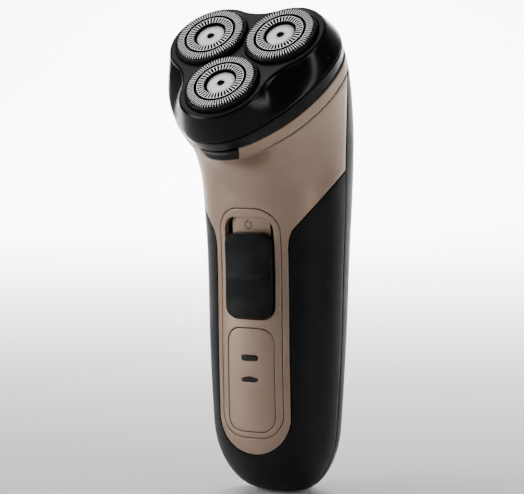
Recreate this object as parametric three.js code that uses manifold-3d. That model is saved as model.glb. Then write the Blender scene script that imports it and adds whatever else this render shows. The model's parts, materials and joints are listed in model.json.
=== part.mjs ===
// Three-head rotary shaver. Millimetres, +Z up, origin at the middle of the base, switch side towards -Y.
// The handle is built upright; the shaving head has its own frame, tilted forward on the neck.
import * as THREE from "three";
import { mergeVertices } from "three/addons/utils/BufferGeometryUtils.js";
import Module from "manifold-3d";

const wasm = await Module();
wasm.setup();

// Driving dimensions
const gap = 0.3; // clearance between touching pieces
const wall = 2; // thickness of the handle's shells
const steps = 32; // points round a handle section
const head = { y: -29.7, z: 152.2, tilt: THREE.MathUtils.degToRad(44) }; // centre of the cutter plane
const cutterSpacing = 26.6; // between the axes of two cutters
const cutterRadius = cutterSpacing / Math.sqrt(3); // from the head's centre to a cutter's axis
const cutters = [
  { side: "front", angle: -90 },
  { side: "left", angle: 150 },
  { side: "right", angle: 30 },
].map((cutter) => {
  const a = THREE.MathUtils.degToRad(cutter.angle);
  return { ...cutter, a, x: cutterRadius * Math.cos(a), y: cutterRadius * Math.sin(a) };
});
// Levels in the head's frame, measured from the plane of the guards
const level = { face: -2, split: -10.8, rim: -15.4, collar: -20.4 };
const rimOutline = { lobe: 17.4, side: -46 }; // lobe radius, and the radius of the bulging sides
const beltOutline = { lobe: 18.3, side: -60 }; // widest section of the head
const faceOutline = { lobe: 15.6, side: 19 }; // top face, with hollow sides between the lobes
const neck = { top: 102.2, hinge: -50, rise: 104.2, blend: 2.2, fullness: 0.6 }; // the neck fans out about a line in front
// Half-width and front and back depth of the handle against height
const widths = [[0, 20.4], [22, 22.2], [50, 23.8], [80, 24.6], [102.2, 25.4]];
const fronts = [[0, 17.4], [22, 19.6], [45, 20.6], [84, 21.5], [102.2, 24.4]];
const backs = [[0, 18], [22, 18.9], [45, 20], [84, 22.8], [102.2, 24.2]];
const base = { x: 7.5, y: 6, centre: 4.2, side: 22, front: 26, back: 18 }; // flat, and heights of the rounding
const corner = 2.2; // power of the superellipse of the handle's sections
const splitY = 1.5; // plane between the front and rear shells
const baseCap = 3; // height of the front shell's one-piece base

const panel = { bottom: 20.6, top: 98.9, half: 11.5, corner: 8 };
const plate = { bottom: 22.7, top: 58.3, half: 8.9, corner: 5 };
const slot = { bottom: 61.5, top: 95.9, half: 9.2, corner: 4.5 };
const thumb = { bottom: 61.8, top: 90.7, half: 8.8, corner: 4, proud: 1.5 };
const lamps = { width: 6, height: 1.8, upper: 48.1, lower: 40.9 };
const cover = { bottom: 14.3, half: 13.9, bend: 85, knee: [15.5, 92], shoulder: [27, 113.5] };

const guard = { radius: 11.96, groove: 8.7, hole: 5.4 };
const ring = { inner: 12.25, outer: 12.8, flange: 13.4 };
const headWall = 1.6; // thickness of the shaving head's cover and skirt
const headBack = { cover: 23.5, skirt: 22.2 }; // flat backs, clear of the hinge
const deck = { top: -16.9, bottom: -18.6 };
const gears = { top: -20.3, bottom: -22.3, module: 0.64, wheel: 36, pinion: 12 };
const motor = { radius: 11.8, top: -26.5, bottom: -51.5 };
const hinge = { y: 24.8, z: -13.9, pin: 1, half: 16, knuckle: 6, front: 22.85, top: -12.4 };
const latch = { top: 7, bottom: 5.6, lower: -20.1, upper: -15.7 }; // half-widths and heights of the release tab
const battery = { radius: 7, y: 3.5, bottom: 33, length: 50 };
const board = { half: 10, front: -14.2, thick: 1.6, bottom: 30, top: 92 };
const socket = { width: 11.6, height: 8, y: 5.4, top: 12, recess: 9.5, lip: 1.3, pinSpan: 2.2 };

// Colours, with roughness and metalness
const paint = {
  champagne: [0xa59182, 0.42, 0.55],
  black: [0x1b1c1e, 0.5, 0],
  gloss: [0x0c0c0e, 0.15, 0],
  charcoal: [0x2b2d30, 0.6, 0],
  steel: [0xb8bcc0, 0.3, 1],
  darkSteel: [0x6f7276, 0.4, 1],
  gear: [0xe8e4d8, 0.6, 0],
  green: [0x1f5a38, 0.6, 0],
  yellow: [0xc9b23a, 0.5, 0],
  lens: [0x2a1512, 0.2, 0],
  brass: [0xc2a04a, 0.35, 1],
  rubber: [0x222222, 0.9, 0],
};

// Booleans

function solid(geometry) {
  const bare = new THREE.BufferGeometry().setAttribute("position", geometry.getAttribute("position"));
  if (geometry.index) bare.setIndex(geometry.index);
  const merged = mergeVertices(bare, 1e-4);
  const vertProperties = new Float32Array(merged.getAttribute("position").array);
  const triVerts = new Uint32Array(merged.index.array);
  return new wasm.Manifold(new wasm.Mesh({ numProp: 3, vertProperties, triVerts }));
}

const join = (first, ...rest) => rest.reduce((a, b) => a.add(b), first);
const cut = (first, ...rest) => rest.reduce((a, b) => a.subtract(b), first);
const common = (first, ...rest) => rest.reduce((a, b) => a.intersect(b), first);

function mesh(name, body, look) {
  const shape = body.getMesh();
  const geometry = new THREE.BufferGeometry();
  geometry.setAttribute("position", new THREE.BufferAttribute(shape.vertProperties, 3));
  geometry.setIndex(new THREE.BufferAttribute(shape.triVerts, 1));
  const [color, roughness, metalness] = look;
  const made = new THREE.Mesh(geometry, new THREE.MeshStandardMaterial({ color, roughness, metalness }));
  made.name = name;
  return made;
}

// Simple solids

const box = (x0, x1, y0, y1, z0, z1) =>
  solid(new THREE.BoxGeometry(x1 - x0, y1 - y0, z1 - z0)
    .translate((x0 + x1) / 2, (y0 + y1) / 2, (z0 + z1) / 2));

// Turned solid from [radius, height] pairs going round the section
function turned(profile, segments = 32) {
  const points = profile.map(([r, h]) => new THREE.Vector2(r, h));
  const ends = [profile[0][0], profile.at(-1)[0]];
  if (ends.some((r) => r > 0)) points.push(points[0].clone());
  return solid(new THREE.LatheGeometry(points, segments).rotateX(Math.PI / 2));
}

// Cylinder along Z
const rod = (radius, low, high, segments = 16) =>
  turned([[0, low], [radius, low], [radius, high], [0, high]], segments);

const pipe = (inner, outer, low, high, segments = 16) =>
  turned([[inner, low], [outer, low], [outer, high], [inner, high]], segments);

// Outline in X-Y, extruded from low to high
const plateOf = (points, low, high) =>
  solid(new THREE.ExtrudeGeometry(new THREE.Shape(points), { depth: high - low, bevelEnabled: false })
    .translate(0, 0, low));

// Outline in X-Z, extruded along Y from back to front
const prismFront = (points, front, back) =>
  solid(new THREE.ExtrudeGeometry(new THREE.Shape(points), { depth: back - front, bevelEnabled: false })
    .rotateX(Math.PI / 2).translate(0, back, 0));

// Rounded upright outline: top corners of one radius, bottom a half-round of the full width
function pill({ bottom, top, half, corner: r }, grow = 0) {
  const w = half + grow;
  const rounding = r + grow;
  const shape = new THREE.Shape();
  shape.absarc(0, bottom - grow + w, w, Math.PI, 2 * Math.PI);
  shape.absarc(w - rounding, top + grow - rounding, rounding, 0, Math.PI / 2);
  shape.absarc(rounding - w, top + grow - rounding, rounding, Math.PI / 2, Math.PI);
  return shape.getPoints(5);
}

function stadium(width, height, grow = 0) {
  const r = height / 2 + grow;
  const reach = width / 2 - height / 2;
  const shape = new THREE.Shape();
  shape.absarc(reach, 0, r, -Math.PI / 2, Math.PI / 2);
  shape.absarc(-reach, 0, r, Math.PI / 2, 1.5 * Math.PI);
  return shape.getPoints(4);
}

// Closed solid through rings of points, bottom to top, each ring counter-clockwise from above
function loft(rings) {
  const n = rings[0].length;
  const centre = (r) => r.reduce((sum, p) => sum.add(p), new THREE.Vector3()).divideScalar(n);
  const points = [...rings.flat(), centre(rings[0]), centre(rings.at(-1))];
  const bottom = rings.length * n;
  const index = [];
  rings.forEach((_, row) => {
    for (let i = 0; i < n; i++) {
      const j = (i + 1) % n;
      const [a, b] = [row * n + i, row * n + j];
      if (row === 0) index.push(bottom, b, a);
      if (row === rings.length - 1) index.push(bottom + 1, a, b);
      else index.push(a, b, b + n, a, b + n, a + n);
    }
  });
  const flat = points.flatMap((p) => [p.x, p.y, p.z]);
  const geometry = new THREE.BufferGeometry();
  geometry.setAttribute("position", new THREE.Float32BufferAttribute(flat, 3));
  return solid(geometry.setIndex(index));
}

// Outlines

const superellipse = (angle, a, b) =>
  ((Math.abs(Math.cos(angle)) / a) ** corner + (Math.abs(Math.sin(angle)) / b) ** corner) ** (-1 / corner);

// Radius of the three-lobed outline: arcs round the cutters, joined by hollow (side > 0) or bulging arcs
function lobed(angle, { lobe, side }) {
  const third = (2 * Math.PI) / 3;
  const turn = angle - Math.PI / 6 + Math.PI / 3;
  const d = Math.abs(turn - third * Math.floor(turn / third) - Math.PI / 3);
  const g = Math.PI / 3 - d;
  const half = cutterSpacing / 2;
  const hollow = Math.sign(side);
  const reach = Math.sqrt((lobe + side) ** 2 - half ** 2);
  const centre = cutterRadius / 2 + hollow * reach;
  const between = centre * Math.cos(g) - hollow * Math.sqrt(Math.max(side ** 2 - (centre * Math.sin(g)) ** 2, 0));
  const share = lobe / (lobe + side);
  const touch = new THREE.Vector2(cutterRadius + (centre / 2 - cutterRadius) * share,
    (centre * Math.sqrt(3) / 2) * share);
  const round = cutterRadius * Math.cos(d) + Math.sqrt(Math.max(lobe ** 2 - (cutterRadius * Math.sin(d)) ** 2, 0));
  return d <= touch.angle() ? round : between;
}

const angles = (n) => Array.from({ length: n }, (_, i) => (2 * Math.PI * i) / n);
const polar = (radius, n = 42) =>
  angles(n).map((a) => new THREE.Vector2(radius(a) * Math.cos(a), radius(a) * Math.sin(a)));

// Handle surface

// Smooth value between the rows of a [height, value] list
function along(rows, z) {
  const x = (z - rows[0][0]) / (rows.at(-1)[0] - rows[0][0]);
  const curve = new THREE.SplineCurve(rows.map(([h, value]) => new THREE.Vector2(h, value)));
  let [low, high] = [0, 1];
  if (x <= 0) return rows[0][1];
  if (x >= 1) return rows.at(-1)[1];
  for (let i = 0; i < 24; i++) {
    const middle = (low + high) / 2;
    if (curve.getPoint(middle).x < z) low = middle;
    else high = middle;
  }
  return curve.getPoint(low).y;
}

const quarter = (z, height) => Math.sqrt(Math.max(0, 1 - (1 - Math.min(z / height, 1)) ** 2));

// Section of the upright part, drawn in by inset and with its rounding lifted by the same amount
function columnRing(z, inset = 0) {
  const lift = z - inset;
  const side = quarter(lift, base.side);
  const a = base.x + (along(widths, z) - base.x) * side;
  const low = base.centre - base.y - (along(fronts, z) + base.centre - base.y) * quarter(lift, base.front);
  const high = base.centre + base.y + (along(backs, z) - base.centre - base.y) * quarter(lift, base.back);
  const centre = base.centre * (1 - side);
  return angles(steps).map((t) => {
    const r = superellipse(t, a, Math.sin(t) < 0 ? centre - low : high - centre) - inset;
    return new THREE.Vector3(r * Math.cos(t), centre + r * Math.sin(t), z);
  });
}

// Point in the handle's frame of a point given in the head's frame
const headFrame = new THREE.Matrix4().makeRotationX(head.tilt).setPosition(0, head.y, head.z);
const fromHead = (x, y, z) => new THREE.Vector3(x, y, z).applyMatrix4(headFrame);

// Section of the neck, from the upright part (t = 0) to the collar (t = 1)
function neckRing(t, inset = 0) {
  const tilt = head.tilt * t;
  const end = fromHead(0, 0, level.collar);
  const reach = Math.hypot(end.y - neck.hinge, end.z - neck.rise);
  const middle = -neck.hinge + (reach + neck.hinge) * t;
  return angles(steps).map((p) => {
    const w = t ** (neck.blend - neck.fullness * (1 + Math.sin(p))); // the back fills out sooner
    const foot = superellipse(p, widths.at(-1)[1], Math.sin(p) < 0 ? fronts.at(-1)[1] : backs.at(-1)[1]);
    const r = (1 - w) * foot + w * lobed(p, rimOutline) * 0.985 - inset;
    const out = middle + r * Math.sin(p);
    return new THREE.Vector3(r * Math.cos(p) * (1 + 0.015 * w),
      neck.hinge + out * Math.cos(tilt), neck.rise + (neck.top - neck.rise) * (1 - t) + out * Math.sin(tilt));
  });
}

// Section of the collar in the head's frame
const collarRing = (z, inset = 0) => angles(steps).map((p) => {
  const taper = 0.985 + (0.015 * (z - level.collar)) / (level.rim - level.collar);
  const r = lobed(p, rimOutline) * taper - inset;
  return new THREE.Vector3(r * Math.cos(p) * 1.015, r * Math.sin(p), z);
});

// Whole handle as one solid, drawn in by inset, from the base to the collar
function handleSolid(inset, bottom = inset) {
  const heights = [0, 1.2, 3.6, 8, 14, 24, 44, 70, 98];
  const column = heights.map((h) => bottom + (h * (98 - bottom)) / 98).map((z) => columnRing(z, inset));
  const fan = [0.2, 0.45, 0.65, 0.84, 1].map((t) => neckRing(t, inset));
  const top = collarRing(level.collar + 2, inset).map((p) => p.applyMatrix4(headFrame));
  return loft(inset > 0 ? [...column, ...fan, top] : [...column, ...fan]);
}

const whole = handleSolid(0);
const shell = cut(whole, handleSolid(wall));

// Layer of the handle's front, between two depths below the surface
function layer(outer, inner) {
  const levels = [16, 26, 44, 64, 84, 101];
  const at = (inset) => loft(levels.map((z) => drawIn(columnRing(z), inset)));
  return cut(at(outer), at(inner));
}

function drawIn(points, inset) {
  return points.map((p) => {
    const r = Math.hypot(p.x, p.y);
    return new THREE.Vector3((p.x * (r - inset)) / r, (p.y * (r - inset)) / r, p.z);
  });
}

const front = (outline) => prismFront(outline, -60, 0);
const lift = (points, x, y) => points.map((p) => new THREE.Vector2(p.x + x, p.y + y));

// Everything behind the line between the front and rear shells, the line moved back by shift
function rearRegion(shift, low) {
  const shape = new THREE.Shape();
  shape.moveTo(splitY + shift, low);
  shape.lineTo(splitY + shift, 96);
  shape.quadraticCurveTo(splitY + shift, 118, -8.5 + shift, 144.5);
  shape.lineTo(-16 + shift, 172);
  shape.lineTo(90, 172);
  shape.lineTo(90, low);
  const points = shape.getPoints(6);
  return solid(new THREE.ExtrudeGeometry(new THREE.Shape(points), { depth: 120, bevelEnabled: false })
    .rotateX(Math.PI / 2).rotateZ(Math.PI / 2).translate(-60, 0, 0));
}

// Face of the front cover: round below, straight sides, then flaring out to the neck
function coverFace(grow) {
  const w = cover.half + grow;
  const [kneeX, kneeZ] = cover.knee;
  const [shoulderX, shoulderZ] = cover.shoulder;
  const slope = (shoulderZ - kneeZ) / (shoulderX - kneeX);
  const half = [];
  const right = new THREE.Shape();
  right.absarc(0, cover.bottom + cover.half, w, -Math.PI / 2, 0);
  right.lineTo(w, cover.bend);
  right.quadraticCurveTo(w, cover.bend + 4, kneeX + grow, kneeZ);
  right.lineTo(60 + grow, kneeZ + slope * (60 - kneeX));
  right.lineTo(60 + grow, 200);
  half.push(...right.getPoints(8));
  return [...half, ...half.slice(1).reverse().map((p) => new THREE.Vector2(-p.x, p.y))];
}

// Handle

function frontCover() {
  const body = common(cut(shell, rearRegion(-gap / 2, baseCap)), front(coverFace(-gap / 2)));
  return mesh("front_cover", cut(body, front(pill(panel, gap))), paint.champagne);
}

function frontShell() {
  const opening = prismFront(coverFace(gap / 2), -60, 60);
  const inlet = plateOf(lift(stadium(socket.width, socket.height, gap), 0, socket.y), -5, 20);
  const body = cut(shell, rearRegion(-gap / 2, baseCap), common(opening, box(-70, 70, -70, 20, 14, 210)));
  return mesh("front_shell", cut(body, inlet), paint.black);
}

const rearShell = () => mesh("rear_shell", common(shell, rearRegion(gap / 2, baseCap + gap)), paint.black);

const controlPanel = () => mesh("control_panel",
  cut(common(layer(0, wall), front(pill(panel))), front(pill(plate, gap)), front(pill(slot))), paint.champagne);

const lampSlots = (grow) => [lamps.upper, lamps.lower].map((z) =>
  front(lift(stadium(lamps.width, lamps.height, grow), 0, z)));

const indicatorPlate = () =>
  mesh("indicator_plate", cut(common(layer(0, wall), front(pill(plate))), ...lampSlots(gap)), paint.champagne);

const lampLenses = () => ["upper", "lower"].map((name, i) =>
  mesh("led_lens_" + name, common(layer(0.2, 3), lampSlots(0)[i]), paint.lens));

const switchBed = () => mesh("switch_bed",
  cut(common(layer(wall + gap, wall + 1.5), front(pill({ ...slot, bottom: slot.bottom - 1.5, top: slot.top + 1.5,
    half: slot.half + 1.2 }))), box(-1.9, 1.9, -40, 0, 71.6, 81.4)), paint.champagne);

// Thumb slider with a ridge across its middle and a stem that works the switch
function switchSlider() {
  const body = common(layer(-thumb.proud, wall - gap), front(pill(thumb)));
  const ridge = common(layer(-thumb.proud - 0.7, 0), prismFront(lift(stadium(17, 2.4), 0, 76), -60, 0),
    front(pill(thumb)));
  const stem = box(-1.5, 1.5, -20.2, -16.9, 72, 76.4);
  return mesh("switch_slider", join(body, ridge, stem), paint.charcoal);
}

const circuitBoard = () => mesh("circuit_board",
  box(-board.half, board.half, board.front, board.front + board.thick, board.bottom, board.top), paint.green);

const switchContact = () => mesh("slide_switch", box(-4, 4, -16.5, board.front - gap, 69, 84), paint.steel);

function batteryCell() {
  const { radius, bottom, length, y } = battery;
  const top = bottom + length;
  const profile = [[0, bottom], [radius, bottom], [radius, top], [2.7, top], [2.7, top + 1.2], [0, top + 1.2]];
  return mesh("battery", turned(profile, 20).translate([0, y, 0]), paint.yellow);
}

function chargingSocket() {
  const { width, height, y, top, recess, lip, pinSpan } = socket;
  const block = plateOf(lift(stadium(width, height), 0, y), 0.2, top);
  const mouth = plateOf(lift(stadium(width, height, -lip), 0, y), -1, recess);
  const pins = [-pinSpan, pinSpan].map((x) => rod(1.1, 0, 20, 12).translate([x, y, 0]));
  return mesh("charging_socket", cut(block, mouth, ...pins), paint.black);
}

const contactPins = () => ["left", "right"].map((side, i) =>
  mesh("contact_pin_" + side, rod(0.8, 4.9, 14.5, 12).translate([(2 * i - 1) * socket.pinSpan, socket.y, 0]),
    paint.steel));

// Neck pieces, in the head's frame

const outlineOf = (outline, inset = 0) => polar((a) => lobed(a, outline) - inset);

function collarRingPiece() {
  const low = level.collar + gap;
  const rings = (inset, a, b) => loft([a, (a + b) / 2, b].map((z) => collarRing(z, inset)));
  const body = cut(rings(0, low, level.rim), rings(wall, low - 1, level.rim + 1));
  return mesh("collar_ring", cut(body, notch(gap)), paint.champagne);
}

// Trapezium at the front, as seen from the front, reaching in through the collar
function notch(grow) {
  const { top, bottom, lower, upper } = latch;
  const [low, high] = grow > 0 ? [lower - 3, upper + 3] : [lower, upper];
  const half = (z) => bottom + ((top - bottom) * (z - lower)) / (upper - lower) + grow;
  const points = [[-half(low), low], [half(low), low], [half(high), high], [-half(high), high]];
  return prismFront(points.map(([x, z]) => new THREE.Vector2(x, z)), -45, -24);
}

function releaseLatch() {
  const rings = (inset) => loft([latch.lower - 2, latch.upper + 2].map((z) => collarRing(z, inset)));
  const tab = common(cut(rings(0), rings(wall)), notch(0));
  const stem = box(-4, 4, -31.4, -27.2, -19.3, -16.4);
  const finger = box(-3, 3, -30.4, -29.2, -17, -12.9);
  return mesh("release_latch", join(tab, stem, finger), paint.black);
}

// Back tower that carries the head's hinge: inside the collar below, flush with it above
function hingeBracket() {
  const zone = (low, high) => box(-22, 22, hinge.front, 40, low, high);
  const foot = common(plateOf(outlineOf(rimOutline, wall + 0.7), -19.9, level.rim + gap), zone(-19.9, -15.1));
  const tower = common(plateOf(outlineOf(rimOutline, 0.2), level.rim + gap - 0.01, hinge.top), zone(-15.12, hinge.top));
  const pocket = box(-hinge.knuckle - gap, hinge.knuckle + gap, 20, 40, -16.6, 0);
  const hole = crossRod(hinge.pin + gap, hinge.half + gap);
  return mesh("hinge_bracket", cut(join(foot, tower), pocket, hole), paint.gloss);
}

// Rod along X on the hinge's axis
const crossRod = (radius, half, segments = 16) =>
  rod(radius, -half, half, segments).rotate([0, 90, 0]).translate([0, hinge.y, hinge.z]);

const hingePin = () => mesh("hinge_pin", crossRod(hinge.pin, hinge.half), paint.steel);

const posts = [90, -30, 210].map((degrees, i) => {
  const a = THREE.MathUtils.degToRad(degrees);
  return { name: ["back", "right", "left"][i], x: 19.6 * Math.cos(a), y: 19.6 * Math.sin(a) };
});

// Floor of the hair chamber, over the gears
function hairDeck() {
  const floor = plateOf(outlineOf(rimOutline, wall + 1), deck.bottom, deck.top);
  const holes = cutters.map(({ x, y }) => rod(3.3, -30, 0).translate([x, y, 0]));
  const screws = posts.map(({ x, y }) => rod(1.3, -30, 0, 12).translate([x, y, 0]));
  const room = [box(-7.8, 7.8, -45, -25.6, -30, 0), box(-40, 40, hinge.front - gap, 45, -30, 0)];
  return mesh("hair_deck", cut(floor, ...holes, ...screws, ...room), paint.charcoal);
}

function gearPlate() {
  const body = join(rod(22.4, gears.bottom - 2.1, gears.bottom - 0.6, 32),
    ...posts.map(({ x, y }) => rod(2.6, gears.bottom - 0.7, deck.bottom - gap).translate([x, y, 0])));
  const screws = posts.map(({ x, y }) => rod(1.3, -30, 0, 12).translate([x, y, 0]));
  const bearings = cutters.map(({ x, y }) => rod(1.8, -30, 0, 16).translate([x, y, 0]));
  return mesh("gear_plate", cut(body, rod(3.4, -30, 0), ...screws, ...bearings), paint.charcoal);
}

const deckScrews = () => posts.map(({ name, x, y }) => {
  const profile = [[0, -23], [1, -23], [1, -16.6], [2.2, -16.6], [2.2, -15.8], [1.4, -15.3], [0, -15.3]];
  return mesh("deck_screw_" + name, turned(profile, 12).translate([x, y, 0]), paint.steel);
});

function motorCan() {
  const { radius, top, bottom } = motor;
  const profile = [[0, bottom - 1.2], [3, bottom - 1.2], [3, bottom], [radius, bottom], [radius, top], [3, top],
    [3, top + 1.5], [1.3, top + 1.5], [1.3, top - 2], [0, top - 2]];
  return mesh("motor", turned(profile, 22), paint.steel);
}

// Spur gear outline: trapezoid teeth, the first one at the given angle
function gearOutline(teeth, first) {
  const { module: m } = gears;
  const pitch = (2 * Math.PI) / teeth;
  const corners = [[-0.27, -1.1], [-0.13, 0.8], [0.13, 0.8], [0.27, -1.1]];
  return Array.from({ length: teeth }, (_, i) => corners.map(([turn, rise]) => {
    const a = first + (i + turn) * pitch;
    const r = (m * teeth) / 2 + m * rise;
    return new THREE.Vector2(r * Math.cos(a), r * Math.sin(a));
  })).flat();
}

function motorPinion() {
  const shaft = rod(1, motor.top - 1.7, gears.top + gap, 16);
  const pinion = plateOf(gearOutline(gears.pinion, 0), gears.bottom, gears.top);
  return mesh("motor_pinion", join(pinion, shaft), paint.brass);
}

// The gap between two teeth faces the pinion
const driveGears = () => cutters.map(({ side, a, x, y }) => {
  const first = a + Math.PI + Math.PI / gears.wheel;
  const wheel = plateOf(gearOutline(gears.wheel, first), gears.bottom, gears.top);
  const hub = rod(2.9, gears.top - 0.5, -15.8, 12);
  return mesh("drive_gear_" + side, cut(join(wheel, hub), rod(1.8, -30, 0, 12)).translate([x, y, 0]), paint.gear);
});

const spindles = () => cutters.map(({ side, x, y }) => {
  const profile = [[0, -24], [1.5, -24], [1.5, -9.7], [2.8, -9.7], [2.8, -8.9], [1.5, -8.9], [1.5, -4.8], [0, -4.8]];
  return mesh("spindle_" + side, turned(profile, 14).translate([x, y, 0]), paint.gear);
});

const spindleSprings = () => cutters.map(({ side, x, y }) =>
  mesh("spindle_spring_" + side, pipe(1.9, 2.6, -15.5, -10, 20).translate([x, y, 0]), paint.darkSteel));

// Shaving head, in its own frame

// Section of the head's side wall at height z, from the rim through the widest belt to the top face
function headRadius(a, z, inset = 0) {
  const mix = (from, to, w) => from + (to - from) * w;
  if (z <= level.split) {
    const w = (z - level.rim) / (level.split - level.rim);
    return mix(lobed(a, rimOutline), lobed(a, beltOutline), w) - inset;
  }
  const w = Math.min((z - level.split) / (level.face - 1 - level.split), 1);
  return mix(lobed(a, beltOutline), lobed(a, faceOutline), w ** 1.3) - inset - Math.max(0, z - level.face + 1);
}

// Solid through sections of the head, with a flat back
const headLoft = (levels, inset, back) => common(loft(levels.map((z) =>
  angles(42).map((a) => new THREE.Vector3(headRadius(a, z, inset) * Math.cos(a),
    headRadius(a, z, inset) * Math.sin(a), z)))), box(-60, 60, -60, back - inset, -40, 10));

function headCover() {
  const low = level.split + gap / 2;
  const outer = headLoft([low, -8, -5, -3, level.face], 0, headBack.cover);
  const inner = headLoft([low - 1, -8, level.face - 1.4], headWall, headBack.cover);
  const windows = cutters.map(({ x, y }) => rod(ring.outer + 0.25, -5, 0, 30).translate([x, y, 0]));
  const boss = cut(rod(1.7, -6.3, level.face - 1), rod(1.1, -12, -4.2));
  return mesh("head_cover", join(cut(outer, inner, ...windows), boss), paint.gloss);
}

function headSkirt() {
  const high = level.split - gap / 2;
  const levels = [level.rim + gap, (level.rim + high) / 2, high];
  const reach = [levels[0] - 1, levels[1], high + 1];
  const ringWall = cut(headLoft(levels, 0, headBack.skirt), headLoft(reach, headWall, headBack.skirt));
  const arm = box(-hinge.knuckle, hinge.knuckle, 21, hinge.y, hinge.z - 1.2, hinge.z + 1.2);
  const body = join(ringWall, arm, crossRod(1.9, hinge.knuckle));
  return mesh("head_skirt", cut(body, crossRod(hinge.pin + gap, 20)), paint.gloss);
}

// Three-armed holder of the cutters
function retainingFrame() {
  const body = plateOf(outlineOf({ lobe: 12.4, side: 14 }), -8.2, -6.9);
  const openings = cutters.map(({ x, y }) => rod(5, -12, 0, 20).translate([x, y, 0]));
  return mesh("retaining_frame", cut(body, ...openings, rod(1.1, -12, 0)), paint.charcoal);
}

const retainerKnob = () => mesh("retainer_knob",
  join(rod(0.8, -10, -4.6), rod(4, -10, -8.5, 20), box(-1.1, 1.1, -6.5, 6.5, -11.6, -9.6)), paint.charcoal);

const floatRings = () => cutters.map(({ side, x, y }) => {
  const { inner, outer, flange } = ring;
  const profile = [[inner, -4.8], [flange, -4.8], [flange, -3.8], [outer, -3.8], [outer, -0.7], [12.6, -0.5],
    [inner, -0.5]];
  return mesh("float_ring_" + side, clearNeighbours(turned(profile, 24), side).translate([x, y, 0]), paint.charcoal);
});

// Flanges of neighbouring rings are trimmed flat where they would meet
function clearNeighbours(body, side) {
  const { a } = cutters.find((cutter) => cutter.side === side);
  const reach = cutterSpacing / 2 - gap / 2;
  const walls = [a + (5 * Math.PI) / 6, a - (5 * Math.PI) / 6].map((turn) =>
    box(reach, 40, -40, 40, -20, 5).rotate([0, 0, THREE.MathUtils.radToDeg(turn)]));
  return cut(body, ...walls);
}

// Guard: a cap with two working faces, a groove between them and a sunk middle
const guards = () => cutters.map(({ side, x, y }) => {
  const { radius, groove, hole } = guard;
  const profile = [[hole, -1.1], [radius - 0.7, -1.1], [radius - 0.7, -3.4], [radius, -3.4], [radius, 0],
    [groove + 0.3, 0], [groove + 0.3, -0.6], [groove - 0.3, -0.6], [groove - 0.3, 0], [hole, 0]];
  return mesh("guard_" + side, turned(profile, 24).translate([x, y, 0]), paint.steel);
});

const centreDiscs = () => cutters.map(({ side, x, y }) => {
  const profile = [[0, -1.6], [5.1, -1.6], [5.1, -0.75], [1.2, -0.75], [1.2, -1.2], [0, -1.2]];
  return mesh("centre_disc_" + side, turned(profile, 20).translate([x, y, 0]), paint.steel);
});

const blades = () => cutters.map(({ side, x, y }) => {
  const disc = rod(10.6, -3.4, -2.6, 20);
  const hub = turned([[0, -5.4], [3.2, -5.4], [3.2, -3.2], [0, -3.2]], 16);
  const teeth = angles(8).map((a) =>
    box(6, 10.4, -0.3, 0.3, -2.7, -1.5).rotate([0, 0, THREE.MathUtils.radToDeg(a)]));
  const body = cut(join(disc, hub, ...teeth), rod(2, -8, -4.3));
  return mesh("blade_" + side, body.translate([x, y, 0]), paint.darkSteel);
});

const shaver = new THREE.Group();
shaver.name = "rotary_shaver";
shaver.add(frontCover(), frontShell(), rearShell(), controlPanel(), indicatorPlate(), ...lampLenses(), switchBed(),
  switchSlider(), circuitBoard(), switchContact(), batteryCell(), chargingSocket(), ...contactPins());

const headGroup = new THREE.Group();
headGroup.position.set(0, head.y, head.z);
headGroup.rotation.x = head.tilt;
headGroup.add(collarRingPiece(), releaseLatch(), hingeBracket(), hingePin(), hairDeck(), gearPlate(),
  ...deckScrews(), motorCan(), motorPinion(), ...driveGears(), ...spindles(), ...spindleSprings(), headCover(),
  headSkirt(), retainingFrame(), retainerKnob(), ...floatRings(), ...guards(), ...centreDiscs(), ...blades());
shaver.add(headGroup);

export default shaver;
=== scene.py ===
# Three-head rotary shaver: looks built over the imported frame.
# Shapes are worked out in millimetres and go into the meshes in metres.
import json
import math
import bmesh
import bpy
import numpy as np
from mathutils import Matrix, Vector
from mathutils.geometry import delaunay_2d_cdt


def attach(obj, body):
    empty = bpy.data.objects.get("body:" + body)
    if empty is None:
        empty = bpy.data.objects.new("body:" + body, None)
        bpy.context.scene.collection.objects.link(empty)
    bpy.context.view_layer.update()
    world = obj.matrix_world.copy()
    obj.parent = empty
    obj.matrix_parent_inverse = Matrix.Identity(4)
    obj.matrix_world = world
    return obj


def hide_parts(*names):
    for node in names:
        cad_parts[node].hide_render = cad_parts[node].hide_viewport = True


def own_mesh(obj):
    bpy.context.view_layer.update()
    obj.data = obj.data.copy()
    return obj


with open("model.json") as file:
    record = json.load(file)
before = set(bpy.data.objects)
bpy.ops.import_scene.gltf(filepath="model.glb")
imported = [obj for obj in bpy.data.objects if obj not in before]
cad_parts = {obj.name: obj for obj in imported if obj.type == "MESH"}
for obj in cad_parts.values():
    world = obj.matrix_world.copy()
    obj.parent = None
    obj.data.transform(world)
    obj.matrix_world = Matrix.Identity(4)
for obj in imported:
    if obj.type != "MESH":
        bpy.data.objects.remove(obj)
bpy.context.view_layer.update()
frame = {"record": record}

mm = 0.001
deg = math.pi / 180

studio = {
    "azimuth": 28.4, "elevation": 4.0, "distance": 700.0,
    "target": (0.0, -11.8, 85.3), "lens": 140.85, "sensor": 36.0,
    "floorColor": "#f4f4f4", "worldColor": "#ffffff", "roomSeen": 2.2, "roomLight": 0.12,
}


def linear(code, alpha=1.0):  # sRGB hex to linear RGBA
    parts = [int(code[i:i + 2], 16) / 255 for i in (1, 3, 5)]
    return tuple(c / 12.92 if c <= 0.04045 else ((c + 0.055) / 1.055) ** 2.4 for c in parts) + (alpha,)


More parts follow.
